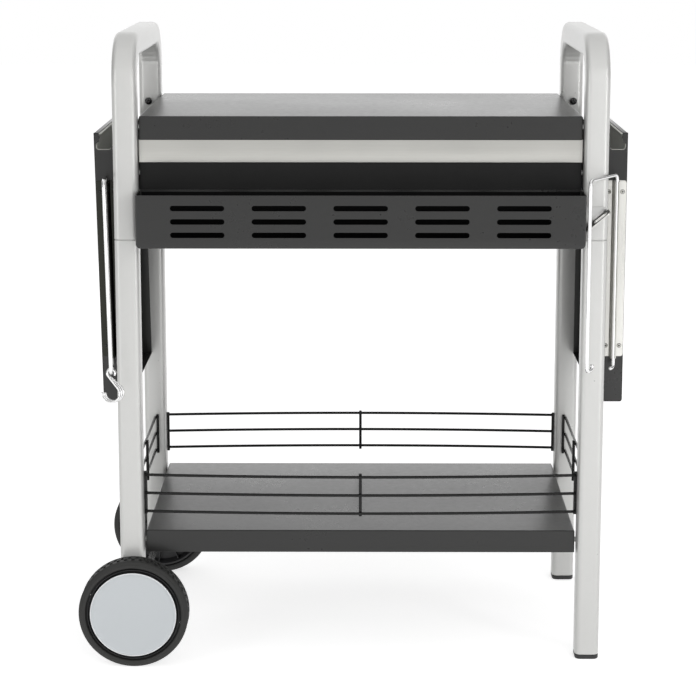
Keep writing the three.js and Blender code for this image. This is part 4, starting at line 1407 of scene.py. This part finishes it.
def s_hook(index):
    """One S-hook: a loop over the rail, a slanted shank and a wide throat."""
    rail, hook = settings().rail, settings().hook
    loop_z = rail.wire / 2 + hook.fit + hook.wire / 2 - hook.loop
    throat = Vector((hook.shift, 0, -hook.drop))
    apart = math.hypot(throat.x, throat.z - loop_z)
    bearing = math.degrees(math.atan2(throat.z - loop_z, throat.x))
    lean = math.degrees(math.acos((hook.loop + hook.throat) / apart))
    upper = arc(0, loop_z, hook.loop, -25, bearing - lean + 360, 22)
    lower = arc(throat.x, throat.z, hook.throat, bearing - lean + 180, -185, 26)
    points = [Vector((x, 0, z)) for x, z in upper + lower]
    place = index - 2
    along = rail.width - rail.curl - 3.5 * MM + hook.pitch * place
    seat = (swing_matrix(-1)
            @ Matrix.Translation((along, 0, -rail.top_drop - rail.free_length))
            @ Matrix.Rotation(math.pi / 2, 4, "Z")
            @ Matrix.Rotation(hook.spread * place, 4, "Y"))
    dress(wire(f"s_hook_wire_{index}", points, hook.wire / 2, REAR, 16, seat),
          f"hook_{index}", "chrome_wire", f"s_hook_{index}")


# Bottle opener

def opener_outlines(shape, grow):
    """The lip's and its window's outline. grow makes the lip smaller and its window wider."""
    far, near = shape.lip_length, shape.window_inset - grow
    corner, small = 8 * MM, 2 * MM
    lip = [(grow, grow), (shape.lip_width - grow, grow)]
    lip += arc(shape.lip_width - corner, far - corner, corner - grow, 0, 90, 8)
    lip += arc(small, far - small, small - grow, 90, 180, 3)
    start = shape.window_start - grow
    window = rounded_box(start, start + shape.window_width + 2 * grow, near,
                         near + shape.window_length + 2 * grow, 6 * MM + grow, 6)
    return lip, window


def plates(name, drawings, thickness, place):
    """One object of flat plates in one place, each drawn by its outlines."""
    bm = bmesh.new()
    for outlines in drawings:
        add_plate(bm, outlines, thickness, settings().sheet.rim, place)
    return to_object(name, bm, None, WELD)


def opener():
    """A plate on the leg and a slanted lip with a window. The lip's faces carry painted shade, a
    dark colour on the steel, and its edges are bare steel."""
    shape = settings().opener
    low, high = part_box("bottle_opener")
    thick, width, height = shape.thickness, shape.plate_width, shape.plate_height
    corner, small = 5 * MM, 1.5 * MM
    outline = [(0, 0), (width, width * math.tan(shape.slant))]
    outline += arc(width - corner, height - corner, corner, 0, 90, 5)
    outline += arc(small, height - small, small, 90, 180, 3)
    origin = Vector((low.x + thick * 0.32, high.y, low.z + thick * 0.38))
    upright = upright_at(origin.x, origin.y - thick / 2, origin.z)
    dress(plates("opener_plate", [[outline]], thick, upright), "cart", "brushed_steel",
          "bottle_opener", finish="opener_steel")

    along = Vector((math.cos(shape.slant), 0, math.sin(shape.slant)))
    slanted = axes(along, FRONT, along.cross(FRONT), origin)
    edge, apart = 1 * MM, 0.1 * MM
    face = opener_outlines(shape, edge)
    # The lip's faces carry painted shade
    dress(plates("opener_lip", [face], thick - 0.3 * MM, slanted), "cart",
          "brushed_steel", finish="opener_lip")
    lip, window = opener_outlines(shape, 0)
    inner_lip, wide_window = opener_outlines(shape, edge + apart)
    edges = [[lip, inner_lip], [wide_window, window]]
    dress(plates("opener_lip_edge", edges, thick, slanted), "cart", "brushed_steel",
          finish="plate_steel")


# Bolts and collars

def stop_bolt(node):
    """A black round head bolt with a recess, facing the middle of the cart."""
    centre = middle_of(node)
    way = REAR if centre.y < MIDDLE.y else FRONT
    head, tip = half_size(node)
    shank = 3 * MM
    profile = [(0, -tip), (shank, -tip), (shank, tip - 5.4 * MM)]
    profile += offset_points(head, tip, [(-0.3, -5.4), (0, -5.1), (0, -3.6)])
    profile += [(head * share, tip - depth * MM) for share, depth in (
        (0.93, 2.3), (0.76, 1.05), (0.5, 0.25), (0.36, 0), (0.3, 0.2), (0.24, 2.0),
        (0, 2.2))]
    dress(turned(node + "_round_head", profile, 28, centre, way), "cart", "black_bolt",
          node)


def gap_collars():
    """Plain light spacers in the narrow dark gap between the legs and the upper sheets."""
    radius, start, gap = 4 * MM, 0.15 * MM, 2.4 * MM
    inwards = 10 * MM
    bm = bmesh.new()
    for drop in (19 * MM, 94 * MM):
        for x, way in ((PANEL_LOW.x, LEFT), (PANEL_HIGH.x, RIGHT)):
            for node, shift in (("front_left_leg", inwards), ("rear_left_leg", -inwards)):
                centre = Vector((x, middle_of(node).y + shift, PANEL_HIGH.z - drop))
                lathe(bm, [(0, start), (radius, start), (radius, gap), (0, gap)], 16,
                      centre, way)
    dress(to_object("gap_collars", bm), "cart", "zinc_steel")


# Studio

def floor():
    """A wide pale floor that camera and reflections see lit up, and that keeps shadows."""
    studio = settings().studio
    reach, corner = 14.0, 6.0
    outline = rounded_box(-reach, reach, -reach, reach, corner, 10)
    bm = bmesh.new()
    bm.faces.new([bm.verts.new((x, y, 0)) for x, y in outline])
    obj = to_object("studio_floor", bm)
    if obj.data.polygons[0].normal.z < 0:
        obj.data.flip_normals()
    material = bpy.data.materials.new("floor_paint")
    material.use_nodes = True
    t = Tree(material.node_tree)
    principled = material.node_tree.nodes["Principled BSDF"].inputs
    principled["Roughness"].default_value = 0.9
    principled["Specular IOR Level"].default_value = 0.0
    principled["Emission Color"].default_value = (1, 1, 1, 1)
    darkest = 0.985
    shade = t.ranged(t.noise(t.object_place(), 2.0, 3.0), 0.0, 1.0, darkest, 1.0)
    t.join(t.scaled(tuple(studio.floor), shade), principled["Base Color"])
    seen = t.seen(t.add("ShaderNodeLightPath").outputs)
    t.join(t.math("MULTIPLY", seen, studio.floor_glow), principled["Emission Strength"])
    obj.data.materials.append(material)


def world():
    """White to camera, reflections and transmission, and a soft light on the object. The
    studio's side walls are darker in reflections."""
    studio = settings().studio
    made = bpy.data.worlds.new("studio_world")
    made.use_nodes = True
    t = Tree(made.node_tree)
    background = made.node_tree.nodes["Background"].inputs
    background["Color"].default_value = (1, 1, 1, 1)
    rays = t.add("ShaderNodeLightPath").outputs
    way = t.add("ShaderNodeTexCoord").outputs["Generated"]
    sideways = t.math("ABSOLUTE", t.out("ShaderNodeSeparateXYZ", {0: way}))
    wall_starts, wall_full = 0.35, 0.9
    wall = t.ranged(sideways, wall_starts, wall_full, 1.0, studio.side_wall,
                    interpolation_type="SMOOTHSTEP")
    reflected = t.ranged(rays["Is Glossy Ray"], 0.0, 1.0, 1.0, wall)
    strength = t.ranged(t.seen(rays), 0.0, 1.0, studio.ambient, reflected)
    t.join(strength, background["Strength"])
    bpy.context.scene.world = made


def lamp(name, place, size, watts):
    """A rectangular lamp that faces the middle of the cart."""
    data = bpy.data.lights.new(name, "AREA")
    data.shape = "RECTANGLE"
    data.size, data.size_y = size
    data.energy = watts
    obj = new_object(name, data)
    obj.visible_camera = False
    obj.location = place
    target = 0.55 * UP
    obj.rotation_euler = (target - obj.location).to_track_quat("-Z", "Y").to_euler()
    return obj


def lamps():
    """A broad lamp in front, narrow ones on both sides and a wide one behind."""
    studio = settings().studio
    key = lamp("key_lamp", (0.9, -3.5, 1.6), (2.4, 1.6), studio.key)
    key.visible_glossy = False
    lamp("left_lamp", (-2.0, -2.1, 1.0), (0.5, 2.4), studio.left)
    lamp("right_lamp", (2.0, -2.1, 1.0), (0.5, 2.4), studio.right)
    lamp("back_lamp", (0, 3.6, 1.5), (6.0, 3.0), studio.back)


def camera():
    """The camera at the photograph's angle."""
    studio = settings().studio
    data = bpy.data.cameras.new("photo_camera")
    data.lens = studio.lens
    data.sensor_width = 36
    data.shift_y = studio.shift
    obj = new_object("photo_camera", data)
    obj.location = (MIDDLE.x, -studio.distance, studio.height)
    obj.rotation_euler = (studio.pitch, 0, studio.yaw)
    bpy.context.scene.camera = obj
    bpy.context.scene.view_settings.view_transform = "Standard"


# Operators, one for each group of pieces

class CART_OT_kept_nodes(bpy.types.Operator):
    """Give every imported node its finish"""
    bl_idname = "cart.kept_nodes"
    bl_label = "Finish the packed nodes"

    def execute(self, context):
        own = {"axle": "axle_steel"}
        for name, obj in frame["nodes"].items():
            obj.data.materials.clear()
            obj.data.materials.append(finish_of(own.get(name, SLOTS[name])))
        return {"FINISHED"}


class CART_OT_frames(bpy.types.Operator):
    """Build the handle frames, lower legs, feet and end caps"""
    bl_idname = "cart.frames"
    bl_label = "Tube frames"

    def execute(self, context):
        for side in ("left", "right"):
            handle_frame(side + "_handle_tube", side + "_handle_frame")
            for end in ("front", "rear"):
                corner = f"{end}_{side}"
                lower_leg(corner + "_tube", corner + "_leg")
                kind = "end_cap" if side == "left" else "foot"
                leg_end(f"{corner}_{kind}_moulded", f"{corner}_{kind}")
        return {"FINISHED"}


class CART_OT_sheets(bpy.types.Operator):
    """Build the top panel, casing, steel strip, tray and shelf"""
    bl_idname = "cart.sheets"
    bl_label = "Sheet metal"

    def execute(self, context):
        folded_pan("top_sheet", "top_panel")
        folded_pan("shelf_sheet", "bottom_shelf")
        casing()
        front_strip()
        tray()
        tray_back()
        return {"FINISHED"}


class CART_OT_guard_rails(bpy.types.Operator):
    """Build the wire guard rails round the shelf"""
    bl_idname = "cart.guard_rails"
    bl_label = "Guard rails"

    def execute(self, context):
        for side, out in (("front", FRONT), ("rear", REAR), ("left", LEFT),
                          ("right", RIGHT)):
            guard_rail(side + "_guard_rail", out)
        return {"FINISHED"}


class CART_OT_wheels(bpy.types.Operator):
    """Build both wheels"""
    bl_idname = "cart.wheels"
    bl_label = "Wheels"

    def execute(self, context):
        for end, outward in (("front", FRONT), ("rear", REAR)):
            tyre(end, outward)
            rim(end, outward)
            cap(end, outward)
        return {"FINISHED"}


class CART_OT_tables(bpy.types.Operator):
    """Build the side tables with their rail plates"""
    bl_idname = "cart.tables"
    bl_label = "Side tables"

    def execute(self, context):
        for side in (-1, 1):
            table(side)
            table_liner(side)
            notch_highlight_edges(side)
            rail_plate(side)
        return {"FINISHED"}


class CART_OT_rails(bpy.types.Operator):
    """Build the swing rails and the S-hooks"""
    bl_idname = "cart.rails"
    bl_label = "Swing rails and hooks"

    def execute(self, context):
        for side in (-1, 1):
            swing_rail(side)
        for index in (1, 2, 3):
            s_hook(index)
        return {"FINISHED"}


class CART_OT_opener(bpy.types.Operator):
    """Build the bottle opener"""
    bl_idname = "cart.opener"
    bl_label = "Bottle opener"

    def execute(self, context):
        opener()
        return {"FINISHED"}


class CART_OT_fasteners(bpy.types.Operator):
    """Build the stop bolts and the collars beside the panels"""
    bl_idname = "cart.fasteners"
    bl_label = "Bolts and collars"

    def execute(self, context):
        for side in ("left", "right"):
            for end in ("front", "rear"):
                stop_bolt(f"{end}_{side}_stop_bolt")
        gap_collars()
        return {"FINISHED"}


class CART_OT_studio(bpy.types.Operator):
    """Build the floor, the lamps, the world and the camera"""
    bl_idname = "cart.studio"
    bl_label = "Studio"

    def execute(self, context):
        floor()
        world()
        lamps()
        camera()
        return {"FINISHED"}


class CART_PT_panel(bpy.types.Panel):
    """Lists the cart's operators and sizes"""
    bl_idname = "CART_PT_panel"
    bl_label = "Grill cart"
    bl_space_type = "VIEW_3D"
    bl_region_type = "UI"
    bl_category = "Grill cart"

    def draw(self, context):
        for operator in OPERATORS:
            self.layout.operator(operator.bl_idname)
        cart = context.scene.grill_cart
        for part in GROUPS:
            box = self.layout.box()
            box.label(text=part.capitalize())
            group = getattr(cart, part)
            for key in group.bl_rna.properties.keys():
                if key not in ("rna_type", "name"):
                    box.prop(group, key)


OPERATORS = (
    CART_OT_kept_nodes, CART_OT_frames, CART_OT_sheets, CART_OT_guard_rails,
    CART_OT_wheels, CART_OT_tables, CART_OT_rails, CART_OT_opener, CART_OT_fasteners,
    CART_OT_studio,
)
CLASSES = (*GROUPS.values(), CartSettings, *OPERATORS, CART_PT_panel)


def register():
    for each in CLASSES:
        bpy.utils.register_class(each)
    bpy.types.Scene.grill_cart = PointerProperty(type=CartSettings)


def unregister():
    del bpy.types.Scene.grill_cart
    for each in CLASSES[::-1]:
        bpy.utils.unregister_class(each)


def main():
    register()
    bpy.ops.cart.kept_nodes()
    bpy.ops.cart.frames()
    bpy.ops.cart.sheets()
    bpy.ops.cart.guard_rails()
    bpy.ops.cart.wheels()
    bpy.ops.cart.tables()
    bpy.ops.cart.rails()
    bpy.ops.cart.opener()
    bpy.ops.cart.fasteners()
    bpy.ops.cart.studio()


if __name__ == "__main__":
    main()
